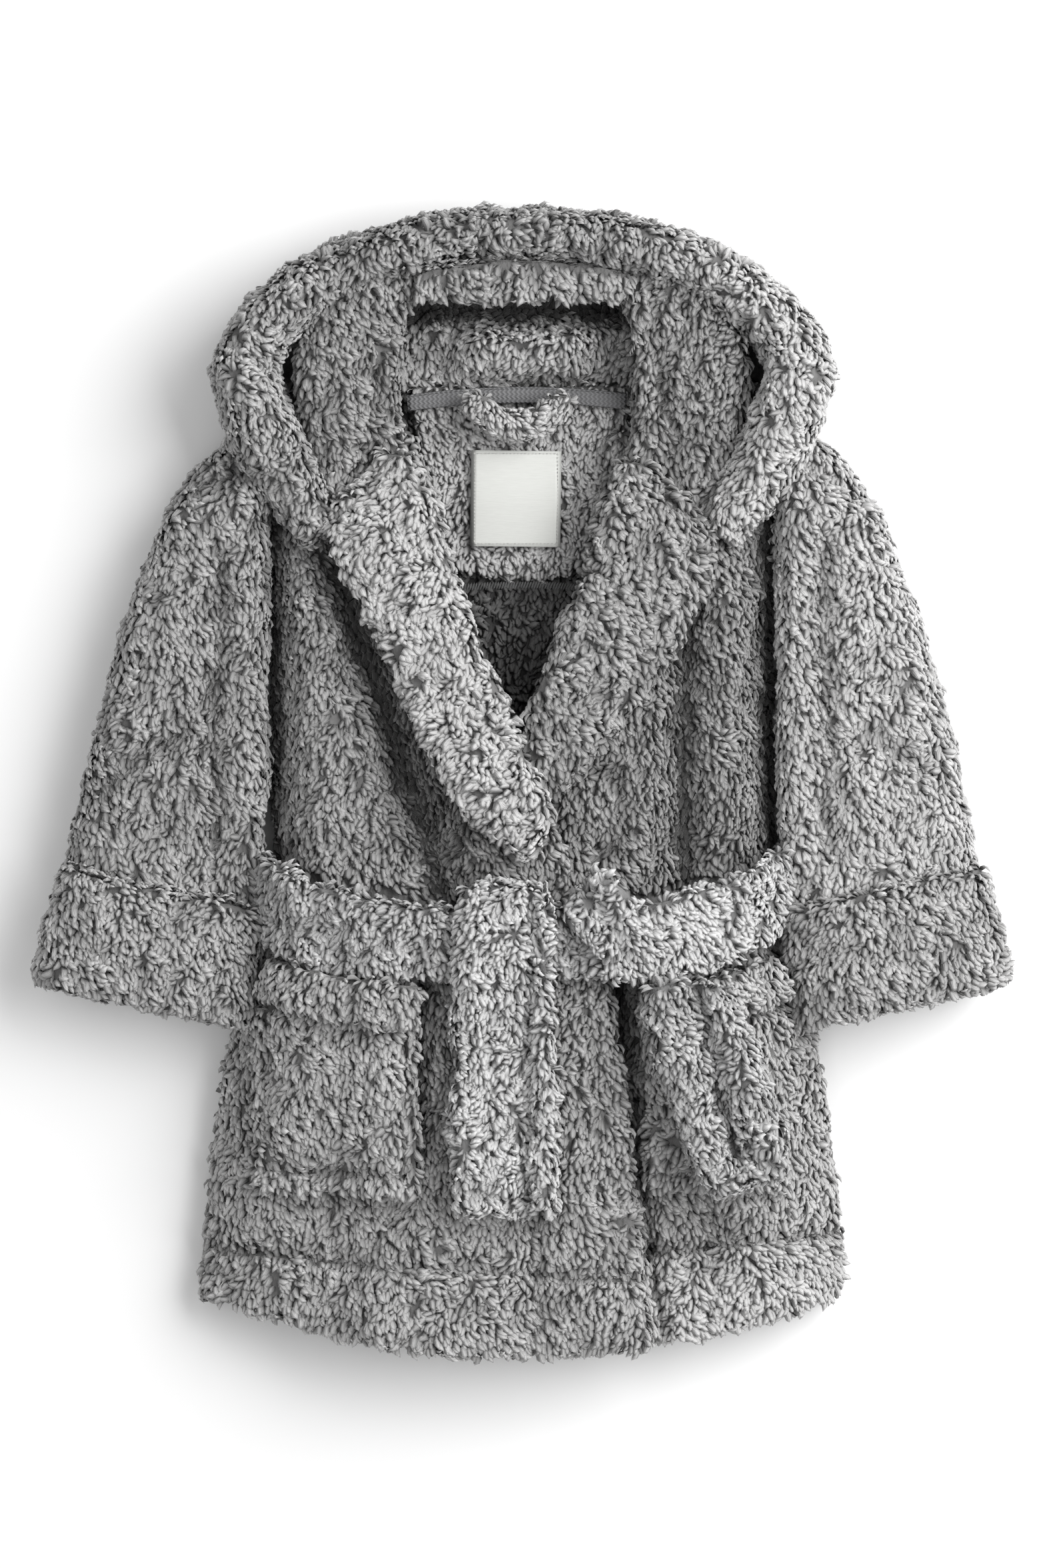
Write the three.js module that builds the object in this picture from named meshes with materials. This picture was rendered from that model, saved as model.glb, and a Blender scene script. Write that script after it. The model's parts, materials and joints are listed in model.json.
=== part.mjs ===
// A child's hooded robe in long-pile fleece, laid flat on its back with the belt tied.
// x runs across from the centre line, y up from the hem to the top of the hood, and z up from the
// surface that the robe lies on. Every layer of cloth is a closed solid that lies on the one below.
import * as THREE from 'three';

// Driving dimensions, in millimetres.
const GAP = 0.6;            // between layers that touch
const FLEECE = 9;           // a panel with its pile
const FOLD = 3.6;           // a turned-in hem or facing
const HEM_HALF = 168;       // half the robe's width at the hem
const WAIST_HALF = 131;     // half its width under the belt
const SHOULDER_HALF = 133;  // half its width between the armholes
const WAIST_Y = 252;        // the belt's height at the sides
const HEM_RISE = 18;        // how far the hem climbs towards its corners
const HEM_DEPTH = 33;       // the turned-up hem
const SHOULDER_Y = 488;     // top of the front panels
const NECK_Y = 509;         // the seam between robe and hood
const CROWN = 25;           // how far the fronts arch over the body space
const HAND_SPACE = 9;       // room inside a pocket
const BELT_WIDTH = 42;
const BELT_THICK = 9;
const BELT_BACK_THICK = 5;
const KNOT_THICK = 13;
const TAIL_THICK = 10;
const TAIL_TOP = 200.5;     // the belt's ends hang from here
const LAPEL_THICK = 11;
const ARMHOLE_Y = 455;      // where the sleeve tube leaves the shoulder
const CUFF_Y = 183;         // middle of the cuff's lower edge
const CUFF_DEPTH = 62;
const CUFF_THICK = 9;
const SLEEVE_HALF_HEIGHT = 24;
const SLEEVE_REACH = 254.5; // outermost point of a cuff
const HOOD_FLOOR = 12;      // the hood's back layer
const RIM_HALF_SPAN = 143;  // centre line of the rolled edge, across
const RIM_REACH = 79;       // the same, above the neck seam
const HOOD_TURN = Math.PI / 6;
const HINGE_Z = 28;         // height of the neck's fold line

const { lerp, smoothstep, clamp } = THREE.MathUtils;
const robe = new THREE.Group();
const SEAM_Z = FLEECE + GAP;
const CROWDING = 1.35;      // how much closer a front's facets are at its side seam
const OVERLAP_LIFT = FLEECE + FOLD + 6 * GAP;
const ROBE_TOP = NECK_Y - GAP / 2;
const HOOD_START = NECK_Y + GAP / 2;

// A smooth function through [position, value] pairs, held level beyond its ends.
function curve(...pairs) {
  const keys = pairs.map(([key]) => key);
  const values = pairs.map(([, value]) => value);
  const line = new THREE.CubicInterpolant(keys, values, 1);
  return (at) => line.evaluate(clamp(at, keys[0], keys[keys.length - 1]))[0];
}

// A raised cosine that is 1 between low and high and falls to 0 over the ramp on either side.
function plateau(at, low, high, ramp) {
  return smoothstep(at, low - ramp, low) * (1 - smoothstep(at, high, high + ramp));
}

function addSolid(name, color, points, faces, roughness = 0.95) {
  let volume = 0;
  for (const [a, b, c] of faces) {
    const [p, q, r] = [points[a], points[b], points[c]];
    volume += p.dot(new THREE.Vector3().crossVectors(q, r));
  }
  const outward = volume < 0 ? faces.map(([a, b, c]) => [a, c, b]) : faces;
  const geometry = new THREE.BufferGeometry().setFromPoints(points);
  geometry.setIndex(outward.flat());
  geometry.computeVertexNormals();
  const material = new THREE.MeshStandardMaterial({ color, roughness, metalness: 0 });
  const mesh = new THREE.Mesh(geometry, material);
  mesh.name = name;
  robe.add(mesh);
}

// A sheet with a top and a bottom surface, each a function of u and v that gives [x, y, z].
function addSheet(name, color, cols, rows, top, bottom) {
  const points = [];
  const faces = [];
  const perSide = (cols + 1) * (rows + 1);
  for (const surface of [top, bottom]) {
    for (let j = 0; j <= rows; j++) {
      for (let i = 0; i <= cols; i++) {
        points.push(new THREE.Vector3(...surface(i / cols, j / rows)));
      }
    }
  }
  const at = (i, j) => j * (cols + 1) + i;
  const quad = (a, b, c, d) => faces.push([a, b, c], [a, c, d]);
  for (let j = 0; j < rows; j++) {
    for (let i = 0; i < cols; i++) {
      const corners = [at(i, j), at(i + 1, j), at(i + 1, j + 1), at(i, j + 1)];
      quad(...corners);
      quad(...corners.reverse().map((k) => k + perSide));
    }
  }
  const wall = (a, b) => quad(b, a, a + perSide, b + perSide);
  for (let i = 0; i < cols; i++) {
    wall(at(i, 0), at(i + 1, 0));
    wall(at(i + 1, rows), at(i, rows));
  }
  for (let j = 0; j < rows; j++) {
    wall(at(0, j + 1), at(0, j));
    wall(at(cols, j), at(cols, j + 1));
  }
  addSolid(name, color, points, faces);
}

// A layer over a plan: plan(u, v) gives [x, y], low and high give its heights there.
function addLayer(name, color, cols, rows, plan, low, high) {
  const lift = (height) => (u, v) => {
    const [x, y] = plan(u, v);
    return [x, y, height(x, y, u, v)];
  };
  addSheet(name, color, cols, rows, lift(high), lift(low));
}

// A body through rings of points. Closed joins the last ring to the first; otherwise both are capped.
function addLoft(name, color, rings, closed = false) {
  const sides = rings[0].length;
  const points = rings.flat();
  const faces = [];
  const spans = closed ? rings.length : rings.length - 1;
  for (let j = 0; j < spans; j++) {
    const next = (j + 1) % rings.length;
    for (let i = 0; i < sides; i++) {
      const k = (i + 1) % sides;
      const [a, b] = [j * sides + i, j * sides + k];
      const [c, d] = [next * sides + k, next * sides + i];
      faces.push([a, b, c], [a, c, d]);
    }
  }
  if (!closed) {
    for (const [j, flip] of [[0, true], [rings.length - 1, false]]) {
      const centre = new THREE.Vector3();
      rings[j].forEach((point) => centre.addScaledVector(point, 1 / sides));
      const hub = points.push(centre) - 1;
      for (let i = 0; i < sides; i++) {
        const [a, b] = [j * sides + i, j * sides + ((i + 1) % sides)];
        faces.push(flip ? [hub, b, a] : [hub, a, b]);
      }
    }
  }
  addSolid(name, color, points, faces);
}

// A softened box in section: centre, the unit vector across, and half sizes across and upwards.
function ring(centre, across, halfWidth, halfHeight, sides = 16, power = 2.6) {
  const points = [];
  const soften = (value) => Math.sign(value) * Math.abs(value) ** (2 / power);
  for (let i = 0; i < sides; i++) {
    const angle = ((i + 0.5) / sides) * 2 * Math.PI;
    const point = centre.clone().addScaledVector(across, halfWidth * soften(Math.cos(angle)));
    point.z += halfHeight * soften(Math.sin(angle));
    points.push(point);
  }
  return points;
}

// ---- The robe's outline and the heights of its layers ----

const halfWidth = curve([0, HEM_HALF], [65, HEM_HALF - 3], [117, HEM_HALF - 8], [166, WAIST_HALF + 20],
  [200, WAIST_HALF + 11], [WAIST_Y - 26, WAIST_HALF], [WAIST_Y + 28, WAIST_HALF],
  [360, SHOULDER_HALF - 2.5], [ARMHOLE_Y, SHOULDER_HALF], [NECK_Y, SHOULDER_HALF - 8]);
// The free edge of the front that lies on top, with the fold of its lapel from the belt up.
const overEdge = curve([0, 68], [82, 59], [137, 54], [201, 44.5], [266, 23], [301, 9.5], [342, -7],
  [372, -21], [400, -32], [449, -45.5], [SHOULDER_Y, -56]);
// The same for the front beneath it.
const underEdge = curve([0, -66], [60, -60], [137, -55], [200, -45], [240, -30], [285, -14], [324, 0],
  [350, 5], [380, 17.5], [408, 30], [449, 41], [SHOULDER_Y, 43]);
const shoulderFall = curve([0, 1], [380, 1], [430, 0.7], [460, 0.4], [NECK_Y, 0.15]);

function frontLow(x, y) {
  const across = Math.min(1, Math.abs(x) / halfWidth(y));
  return SEAM_Z + CROWN * (1 - across ** 6) * shoulderFall(y);
}
const underHigh = (x, y) => frontLow(x, y) + FLEECE;
const overLow = (x, y) => frontLow(x, y)
  + OVERLAP_LIFT * smoothstep(x, underEdge(y) - 46, underEdge(y) - 4);
const overHigh = (x, y) => overLow(x, y) + FLEECE;
const hemLift = (x) => HEM_RISE * (x / HEM_HALF) ** 2;

// Height of a row of points: the hem's curve fades out towards the shoulders.
const rowPoint = (x, row) => [x, row + hemLift(x) * (1 - row / NECK_Y)];

// ---- Back, fronts, facings and hems ----

const FLEECE_GREY = 0x8c8b8b;
const INNER_GREY = 0x7c7b7a;
const TAPE_GREY = 0x828284;
const LABEL_WHITE = 0xe2e3de;

function addBack() {
  const beltGroove = (y) => (BELT_BACK_THICK + GAP) * plateau(y, WAIST_Y - 38, WAIST_Y + 36, 10);
  const plan = (u, v) => {
    const row = lerp(0, ROBE_TOP, v);
    return rowPoint(lerp(-1, 1, u) * halfWidth(row), row);
  };
  addLayer('back_panel', FLEECE_GREY, 10, 30, plan, (x, y) => beltGroove(y), () => FLEECE);
  const foldPlan = (u, v) => rowPoint(lerp(-1, 1, u) * (HEM_HALF - 12), lerp(2, HEM_DEPTH, v));
  addLayer('hem_fold_back', INNER_GREY, 10, 2, foldPlan, () => SEAM_Z, () => SEAM_Z + FOLD);
  const facingPlan = (u, v) => {
    const across = lerp(-1, 1, u);
    const base = 420 - 12 * (1 - across ** 2);
    return [across * lerp(36, 50, v), lerp(base, ROBE_TOP, v)];
  };
  addLayer('back_neck_facing', INNER_GREY, 8, 5, facingPlan, () => SEAM_Z, () => SEAM_Z + 5);
}

function addFronts() {
  const overPlan = (u, v) => {
    const row = lerp(0, SHOULDER_Y, v);
    return rowPoint(lerp(-halfWidth(row), overEdge(row), u ** CROWDING), row);
  };
  addLayer('over_front', FLEECE_GREY, 14, 22, overPlan, overLow, overHigh);
  const underPlan = (u, v) => {
    const row = lerp(0, SHOULDER_Y, v);
    return rowPoint(lerp(halfWidth(row), underEdge(row), u ** CROWDING), row);
  };
  addLayer('under_front', FLEECE_GREY, 12, 22, underPlan, frontLow, underHigh);
  const foldUnder = (low, gap) => [(x, y) => low(x, y) - gap - FOLD, (x, y) => low(x, y) - gap];
  const overHem = (u, v) => rowPoint(lerp(-HEM_HALF + 42, 12, u), lerp(2, HEM_DEPTH, v));
  addLayer('hem_fold_over', INNER_GREY, 12, 2, overHem, ...foldUnder(overLow, 3 * GAP));
  const underHem = (u, v) => rowPoint(lerp(-62, HEM_HALF - 42, u), lerp(2, HEM_DEPTH, v));
  addLayer('hem_fold_under', INNER_GREY, 9, 2, underHem, ...foldUnder(frontLow, 2 * GAP));
  const facing = (u, v) => {
    const row = lerp(2, WAIST_Y - BELT_WIDTH / 2, v);
    return rowPoint(overEdge(row) - lerp(52, 1, u), row);
  };
  addLayer('over_front_facing', INNER_GREY, 4, 12, facing, ...foldUnder(overLow, 2 * GAP));
}

// ---- Lapels ----

function addLapels() {
  const overOuter = curve([268, -12], [301, -28], [342, -51], [364, -64], [397, -82], [432, -101]);
  const overPlan = (u, v) => {
    const row = lerp(268, 432, v);
    const x = lerp(overOuter(row), overEdge(row + 36 * u * v) - 1, u);
    return [x, row + 36 * u * v];
  };
  const swell = (u) => 0.6 + 0.4 * Math.sin(Math.PI * u);
  addLayer('over_lapel', FLEECE_GREY, 6, 16, overPlan, (x, y) => overHigh(x, y) + 2 * GAP,
    (x, y, u) => overHigh(x, y) + 2 * GAP + LAPEL_THICK * swell(u));
  const underOuter = curve([291, 18.5], [310, 33], [327, 44], [345, 59], [362, 72], [380, 80],
    [397, 92], [432, 95]);
  const underPlan = (u, v) => {
    const row = lerp(291, 432, v);
    const y = row + 36 * (1 - u) * v;
    const inner = Math.max(underEdge(y), overEdge(y) + 1) + 1;
    return [lerp(inner, underOuter(row), u), y];
  };
  addLayer('under_lapel', FLEECE_GREY, 6, 14, underPlan, (x, y) => underHigh(x, y) + GAP,
    (x, y, u) => underHigh(x, y) + GAP + LAPEL_THICK * swell(u));
}

// ---- Neck tape, label and hanging loop ----

function addNeckTrim() {
  const base = SEAM_Z + 5 + GAP;
  const box = (name, color, halfX, low, high, thick) => {
    const plan = (u, v) => [lerp(-halfX, halfX, u), lerp(low, high, v)];
    addLayer(name, color, 4, 2, plan, () => base, () => base + thick);
  };
  box('neck_tape', TAPE_GREY, 48, NECK_Y - 11, NECK_Y - 2 * GAP, 1.6);
  box('neck_label', LABEL_WHITE, 24, NECK_Y - 85, NECK_Y - 36, 1);
  const radius = 4.5;
  const z = base + 1.6 + GAP + radius;
  const path = new THREE.CatmullRomCurve3([[-20, -4], [-20, -12], [-13, -22], [0, -27], [13, -22],
    [20, -12], [20, -4]].map(([x, y]) => new THREE.Vector3(x, NECK_Y + y, z)));
  const section = new THREE.Shape().absarc(0, 0, radius, 0, 2 * Math.PI);
  const tube = new THREE.ExtrudeGeometry(section, { steps: 14, curveSegments: 6, extrudePath: path });
  const material = new THREE.MeshStandardMaterial({ color: FLEECE_GREY, roughness: 0.95 });
  const loop = new THREE.Mesh(tube, material);
  loop.name = 'hanging_loop';
  robe.add(loop);
}

// ---- Pockets ----

function addPocket(side, inner, outer, surface) {
  const name = side < 0 ? 'left' : 'right';
  const floorY = 91;
  const mouthY = (u) => WAIST_Y - BELT_WIDTH / 2 - 31 + 14 * u * u;
  const plan = (low) => (u, v) => {
    const y = lerp(low(u), mouthY(u), v);
    return [side * lerp(inner, Math.min(outer, halfWidth(y) - 6), u), y];
  };
  const room = (y) => HAND_SPACE * smoothstep(y, floorY + 4, floorY + 30);
  const puff = (u) => Math.sin(Math.PI * clamp(u, 0, 1)) ** 0.7;
  const low = (x, y, u) => surface(x, y) + 2 * GAP + room(y) * puff(u);
  const high = (x, y, u) => low(x, y, u) + 7;
  addLayer(`${name}_pocket`, FLEECE_GREY, 10, 12, plan(() => floorY), low, high);
  const bandLow = (x, y, u) => high(x, y, u) + 2 * GAP;
  addLayer(`${name}_pocket_band`, FLEECE_GREY, 10, 3, plan((u) => mouthY(u) - 22), bandLow,
    (x, y, u) => bandLow(x, y, u) + 4);
}

// ---- Sleeves and cuffs ----

const sideOuter = (y) => halfWidth(y)
  + (BELT_THICK + 2 * GAP) * plateau(y, WAIST_Y - 28, WAIST_Y + 40, 12);

function addSleeve(side) {
  const name = side < 0 ? 'left' : 'right';
  const reach = curve([CUFF_Y, SLEEVE_REACH], [CUFF_Y + CUFF_DEPTH, SLEEVE_REACH - 14.5],
    [292, SLEEVE_REACH - 23.5], [334, 222], [376, 210], [432, 190], [ARMHOLE_Y, 179]);
  const tilt = curve([CUFF_Y, 0.22], [262, 0.22], [334, 0.1], [376, 0], [ARMHOLE_Y, 0]);
  const section = (y, inset, halfHeight, midZ) => {
    const slope = tilt(y);
    const inner = Math.max(sideOuter(y - 48 * slope), sideOuter(y - 36 * slope)) + 4 * GAP + inset;
    const outer = reach(y) - inset;
    const half = (outer - inner) / 2;
    const across = new THREE.Vector3(side, slope, 0);
    return ring(new THREE.Vector3(side * (inner + half), y, midZ), across, half, halfHeight);
  };
  const cuffTop = CUFF_Y + CUFF_DEPTH;
  const tuck = (y) => (CUFF_THICK + 3 * GAP) * (1 - smoothstep(y, cuffTop + 1, cuffTop + 16));
  const cuffMid = SLEEVE_HALF_HEIGHT + 5;
  const midAt = (y) => lerp(cuffMid, SLEEVE_HALF_HEIGHT, smoothstep(y, cuffTop, cuffTop + 16));
  const heightAt = (y) => SLEEVE_HALF_HEIGHT - Math.max(0, tuck(y) - 5);
  const cuffRows = [1, 0.8, 0.6, 0.4, 0.2, 0].map((share) => CUFF_Y + CUFF_DEPTH * share);
  const stations = [ARMHOLE_Y - GAP / 2, 444, 432, 408, 376, 345, 318, 296, 276, 262, 252,
    ...cuffRows.slice(0, -1), CUFF_Y + 2];
  const wall = (y, thick) => section(y, tuck(y) + thick, heightAt(y) - thick, midAt(y));
  const inside = stations.slice(1).reverse();
  addLoft(`${name}_sleeve`, FLEECE_GREY,
    [...stations.map((y) => wall(y, 0)), ...inside.map((y) => wall(y, FLEECE - 0.5))]);
  const cuff = (inset) => cuffRows.map((y) => section(y, inset, cuffMid - inset, cuffMid));
  addLoft(`${name}_cuff`, FLEECE_GREY, [...cuff(0), ...cuff(CUFF_THICK).reverse()], true);
  const headOuter = curve([ARMHOLE_Y, 179], [470, 170], [488, 158], [498, 146]);
  const headPlan = (u, v) => {
    const y = lerp(ARMHOLE_Y + GAP / 2, 497, v);
    return [side * lerp(SHOULDER_HALF + GAP, headOuter(y), u), y];
  };
  const headHigh = (x, y, u) => 19 + 22 * smoothstep(-y, -468, -ARMHOLE_Y) * Math.sin(Math.PI * u);
  addLayer(`${name}_sleeve_head`, FLEECE_GREY, 5, 6, headPlan, () => 0, headHigh);
}

// ---- Hood ----

const rimHalfAcross = (turn) => lerp(20.5, 15, Math.sin(turn) ** 2);
const innerSpan = RIM_HALF_SPAN - 21;
const innerReach = RIM_REACH - 15;
const hoodBase = HOOD_FLOOR + GAP;
const tiltBack = (z) => Math.max(0, z - HINGE_Z) * Math.tan(HOOD_TURN);

function addHoodBack() {
  const outline = (y) => 158 * Math.sqrt(Math.max(0, 1 - ((y - NECK_Y) / 92) ** 2));
  const plan = (u, v) => {
    const y = lerp(HOOD_START, NECK_Y + 87, v);
    return [lerp(-1, 1, u) * outline(y), y];
  };
  const roll = (x, y) => 18 * plateau(y, NECK_Y + 9, NECK_Y + 22, 7) * plateau(x, -36, 36, 7);
  addLayer('hood_back', INNER_GREY, 14, 12, plan, () => 0, (x, y) => HOOD_FLOOR + roll(x, y));
  const gussetPlan = (u, v) => {
    const x = lerp(-58, 58, u);
    const top = HOOD_START + innerReach * Math.sqrt(1 - (x / innerSpan) ** 2) - 1;
    return [x, lerp(NECK_Y + 40, top, v)];
  };
  addLayer('hood_gusset', FLEECE_GREY, 8, 3, gussetPlan, () => 36, () => 50);
}

function addHoodSide(side) {
  const name = side < 0 ? 'left' : 'right';
  const edge = (y) => (innerSpan - 2) * Math.sqrt(1 - ((y - NECK_Y) / innerReach) ** 2);
  const surface = (z) => (u, v) => {
    const height = z(u);
    const y = lerp(HOOD_START + tiltBack(height), NECK_Y + 48, v);
    return [side * lerp(62, edge(y), u), y, height];
  };
  const swell = (u) => hoodBase + 26 + 18 * Math.sin(Math.PI * u);
  addSheet(`${name}_hood_side`, FLEECE_GREY, 6, 5, surface(swell), surface(() => hoodBase));
}

function addHoodRim() {
  const rings = [];
  const steps = 24;
  for (let i = 0; i <= steps; i++) {
    const turn = (i / steps) * Math.PI;
    const halfHeight = lerp(28, 24, Math.sin(turn) ** 2);
    const y = HOOD_START + RIM_REACH * Math.sin(turn);
    const centre = new THREE.Vector3(RIM_HALF_SPAN * Math.cos(turn), y, hoodBase + halfHeight);
    const across = new THREE.Vector3(Math.cos(turn) / RIM_HALF_SPAN, Math.sin(turn) / RIM_REACH, 0);
    const section = ring(centre, across.normalize(), rimHalfAcross(turn), halfHeight, 12, 2.3);
    const fade = 1 - smoothstep(y, NECK_Y, NECK_Y + 50);
    section.forEach((point) => { point.y += tiltBack(point.z) * fade; });
    rings.push(section);
  }
  addLoft('hood_rim', FLEECE_GREY, rings);
}

// The rolled edge below the neck seam and the collar inside it, which stay on the shoulders.
function addCollar(side) {
  const name = side < 0 ? 'left' : 'right';
  const stations = [[0, -143, 20], [-14, -141, 19], [-28, -135, 17], [-42, -126, 14],
    [-56, -116, 11], [-66, -108, 8], [-74, -103, 5]];
  const rings = stations.map(([drop, x, half], i) => {
    const before = stations[Math.max(0, i - 1)];
    const after = stations[Math.min(stations.length - 1, i + 1)];
    const along = new THREE.Vector3(after[1] - before[1], after[0] - before[0], 0).normalize();
    const across = i === 0 ? new THREE.Vector3(1, 0, 0) : new THREE.Vector3(-along.y, along.x, 0);
    const halfHeight = lerp(8, 22, half / 20);
    const z = underHigh(105, 440) + 3 * GAP + halfHeight;
    const centre = new THREE.Vector3(-side * x, ROBE_TOP + drop, z);
    across.x *= -side;
    return ring(centre, across, half, halfHeight, 12, 2.3);
  });
  addLoft(`${name}_rim_end`, FLEECE_GREY, rings);
  const inner = curve([NECK_Y - 74, 94], [NECK_Y - 66, 96], [NECK_Y - 56, 101], [NECK_Y - 42, 108],
    [NECK_Y - 28, 114], [NECK_Y - 14, 119], [NECK_Y, 120]);
  const fold = side < 0 ? 57 : 50;
  const plan = (u, v) => {
    const y = lerp(lerp(470, 438, u), ROBE_TOP, v);
    return [side * lerp(fold, inner(y), u), y];
  };
  const low = (x, y) => underHigh(x, y) + GAP;
  const high = (x, y, u) => 44 + 12 * Math.sin(Math.PI * u);
  addLayer(`${name}_collar`, FLEECE_GREY, 6, 6, plan, low, high);
}

// ---- Belt ----

const beltFloor = overHigh(0, 220) + GAP;

function addBelt(side) {
  const name = side < 0 ? 'left' : 'right';
  const half = BELT_THICK / 2;
  const sideX = WAIST_HALF + GAP + half + 0.6;
  const pocketTop = underHigh(95, 200) + HAND_SPACE + half + 2;
  const path = new THREE.CatmullRomCurve3([[2, 220, beltFloor + half], [38, 220, beltFloor + half],
    [66, 222, beltFloor + half - 1], [95, 229, pocketTop], [118, 242, pocketTop - 9],
    [sideX - 5, WAIST_Y - 1, 33], [sideX, WAIST_Y, 23], [sideX, WAIST_Y, BELT_BACK_THICK + 3 * GAP]]
    .map(([x, y, z]) => new THREE.Vector3(side * x, y, z)), false, 'centripetal');
  const widen = (v) => lerp(BELT_WIDTH - 6, BELT_WIDTH + 2, smoothstep(v, 0, 0.7));
  const surface = (offset) => (u, v) => {
    const point = path.getPointAt(v);
    const along = path.getTangentAt(v);
    const normal = new THREE.Vector3(-along.z, 0, along.x).multiplyScalar(side).normalize();
    point.addScaledVector(normal, offset);
    return [point.x, point.y + (u - 0.5) * widen(v), point.z];
  };
  addSheet(`belt_${name}`, FLEECE_GREY, 3, 20, surface(half), surface(-half));
}

function addBeltBack() {
  const span = WAIST_HALF + GAP + BELT_THICK;
  const plan = (u, v) => [lerp(-span, span, u), WAIST_Y + lerp(-0.5, 0.5, v) * BELT_WIDTH];
  addLayer('belt_back', FLEECE_GREY, 12, 2, plan, () => 0, () => BELT_BACK_THICK);
}

function addKnot() {
  const floor = beltFloor + BELT_THICK + GAP;
  const rings = [];
  const across = new THREE.Vector3(0.6, 0.8, 0);
  for (let i = 0; i <= 8; i++) {
    const along = lerp(-1, 1, i / 8);
    const thin = Math.sqrt(1 - 0.9 * along ** 2);
    const centre = new THREE.Vector3(42 + 14 * along, 235 - 13 * along, floor + KNOT_THICK / 2);
    rings.push(ring(centre, across, 18 * (0.7 + 0.3 * thin), (KNOT_THICK / 2) * thin, 12));
  }
  addLoft('belt_knot', FLEECE_GREY, rings);
  const turnPlan = (u, v) => [lerp(-37, 16, u), lerp(204, 250, v)];
  const arch = (x, y, u, v) => floor + lerp(7, KNOT_THICK, Math.sqrt(Math.sin(Math.PI * clamp(v, 0.02, 0.98))));
  addLayer('belt_turn', FLEECE_GREY, 5, 6, turnPlan, () => floor, arch);
}

function addTail(name, topX, endX, topHalf, endHalf, endY) {
  const plan = (u, v) => {
    const y = lerp(endY, TAIL_TOP, v);
    const half = lerp(endHalf, topHalf, v);
    return [lerp(endX, topX, v) + lerp(-half, half, u), y];
  };
  const floor = beltFloor + 4;
  addLayer(name, FLEECE_GREY, 4, 10, plan, () => floor, () => floor + TAIL_THICK);
}

addBack();
addFronts();
addLapels();
addNeckTrim();
addPocket(-1, 52, 139, overHigh);
addPocket(1, 62, 139, underHigh);
addSleeve(-1);
addSleeve(1);
addHoodBack();
addHoodSide(-1);
addHoodSide(1);
addHoodRim();
addCollar(-1);
addCollar(1);
addBelt(-1);
addBelt(1);
addBeltBack();
addKnot();
addTail('left_belt_tail', -10, -9, 24, 28, 78);
addTail('right_belt_tail', 80, 108, 25, 26, 96);

// The origin is under the middle of the robe, on the surface it lies on.
const box = new THREE.Box3().setFromObject(robe);
const middle = box.getCenter(new THREE.Vector3());
robe.position.set(-middle.x, -middle.y, -box.min.z);

export default robe;
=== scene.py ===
"""A child's hooded robe in long curly fleece, lying on its back with the belt tied.

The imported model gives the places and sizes. Each cloth piece is a soft skin with a coat of fleece
locks over it. Lengths below are in millimetres: x from the centre line, y up from the hem and z up
from the surface that the robe lies on; ``place`` turns them into the frame's metres.
"""

import json
import logging
import math
import random
from collections.abc import Callable, Iterable, Sequence
from dataclasses import dataclass, field, replace
from enum import Enum
from typing import ClassVar

import bmesh
import bpy
import numpy as np
from mathutils import Matrix, Vector, noise

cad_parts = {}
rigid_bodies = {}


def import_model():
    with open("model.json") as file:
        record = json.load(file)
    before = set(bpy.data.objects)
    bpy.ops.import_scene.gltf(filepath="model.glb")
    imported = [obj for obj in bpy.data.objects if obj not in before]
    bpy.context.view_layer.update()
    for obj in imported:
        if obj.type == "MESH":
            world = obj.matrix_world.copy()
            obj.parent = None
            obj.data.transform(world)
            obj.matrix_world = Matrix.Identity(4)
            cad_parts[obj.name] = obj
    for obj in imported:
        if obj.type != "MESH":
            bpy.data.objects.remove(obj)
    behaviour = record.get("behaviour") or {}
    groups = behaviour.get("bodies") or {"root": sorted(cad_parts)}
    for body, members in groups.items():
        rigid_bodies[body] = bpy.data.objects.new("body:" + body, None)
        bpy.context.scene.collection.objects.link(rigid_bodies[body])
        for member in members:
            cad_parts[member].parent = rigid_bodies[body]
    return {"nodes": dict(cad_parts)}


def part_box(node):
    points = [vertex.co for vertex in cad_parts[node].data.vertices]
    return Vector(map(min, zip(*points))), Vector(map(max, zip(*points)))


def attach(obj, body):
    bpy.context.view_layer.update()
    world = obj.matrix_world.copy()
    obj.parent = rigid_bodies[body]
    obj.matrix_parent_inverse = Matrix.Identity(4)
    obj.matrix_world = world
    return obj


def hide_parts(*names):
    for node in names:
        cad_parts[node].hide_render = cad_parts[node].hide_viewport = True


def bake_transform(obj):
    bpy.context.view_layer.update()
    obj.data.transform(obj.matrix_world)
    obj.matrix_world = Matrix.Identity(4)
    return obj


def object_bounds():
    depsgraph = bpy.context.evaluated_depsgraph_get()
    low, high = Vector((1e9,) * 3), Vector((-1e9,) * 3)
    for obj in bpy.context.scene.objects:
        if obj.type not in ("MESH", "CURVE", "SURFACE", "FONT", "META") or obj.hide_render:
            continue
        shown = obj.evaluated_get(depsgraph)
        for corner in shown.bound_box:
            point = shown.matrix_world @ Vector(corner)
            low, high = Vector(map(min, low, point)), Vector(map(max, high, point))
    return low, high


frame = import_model()
CAD_BOX = [[float(c) for c in corner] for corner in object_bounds()]
HEM_Y = CAD_BOX[0][1]
MM = 0.001
WELD = 1e-5

log = logging.getLogger("robe")
Point = tuple[float, float, float]


def place(x: float, y: float, z: float) -> Vector:
    """A point of the robe, in millimetres from the hem's middle, as a point of the frame."""
    return Vector((x * MM, y * MM + HEM_Y, z * MM))


def smooth(value: float, low: float, high: float) -> float:
    """0 below low, 1 above high and a smooth step between them."""
    t = min(1.0, max(0.0, (value - low) / (high - low)))
    return t * t * (3 - 2 * t)


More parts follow.
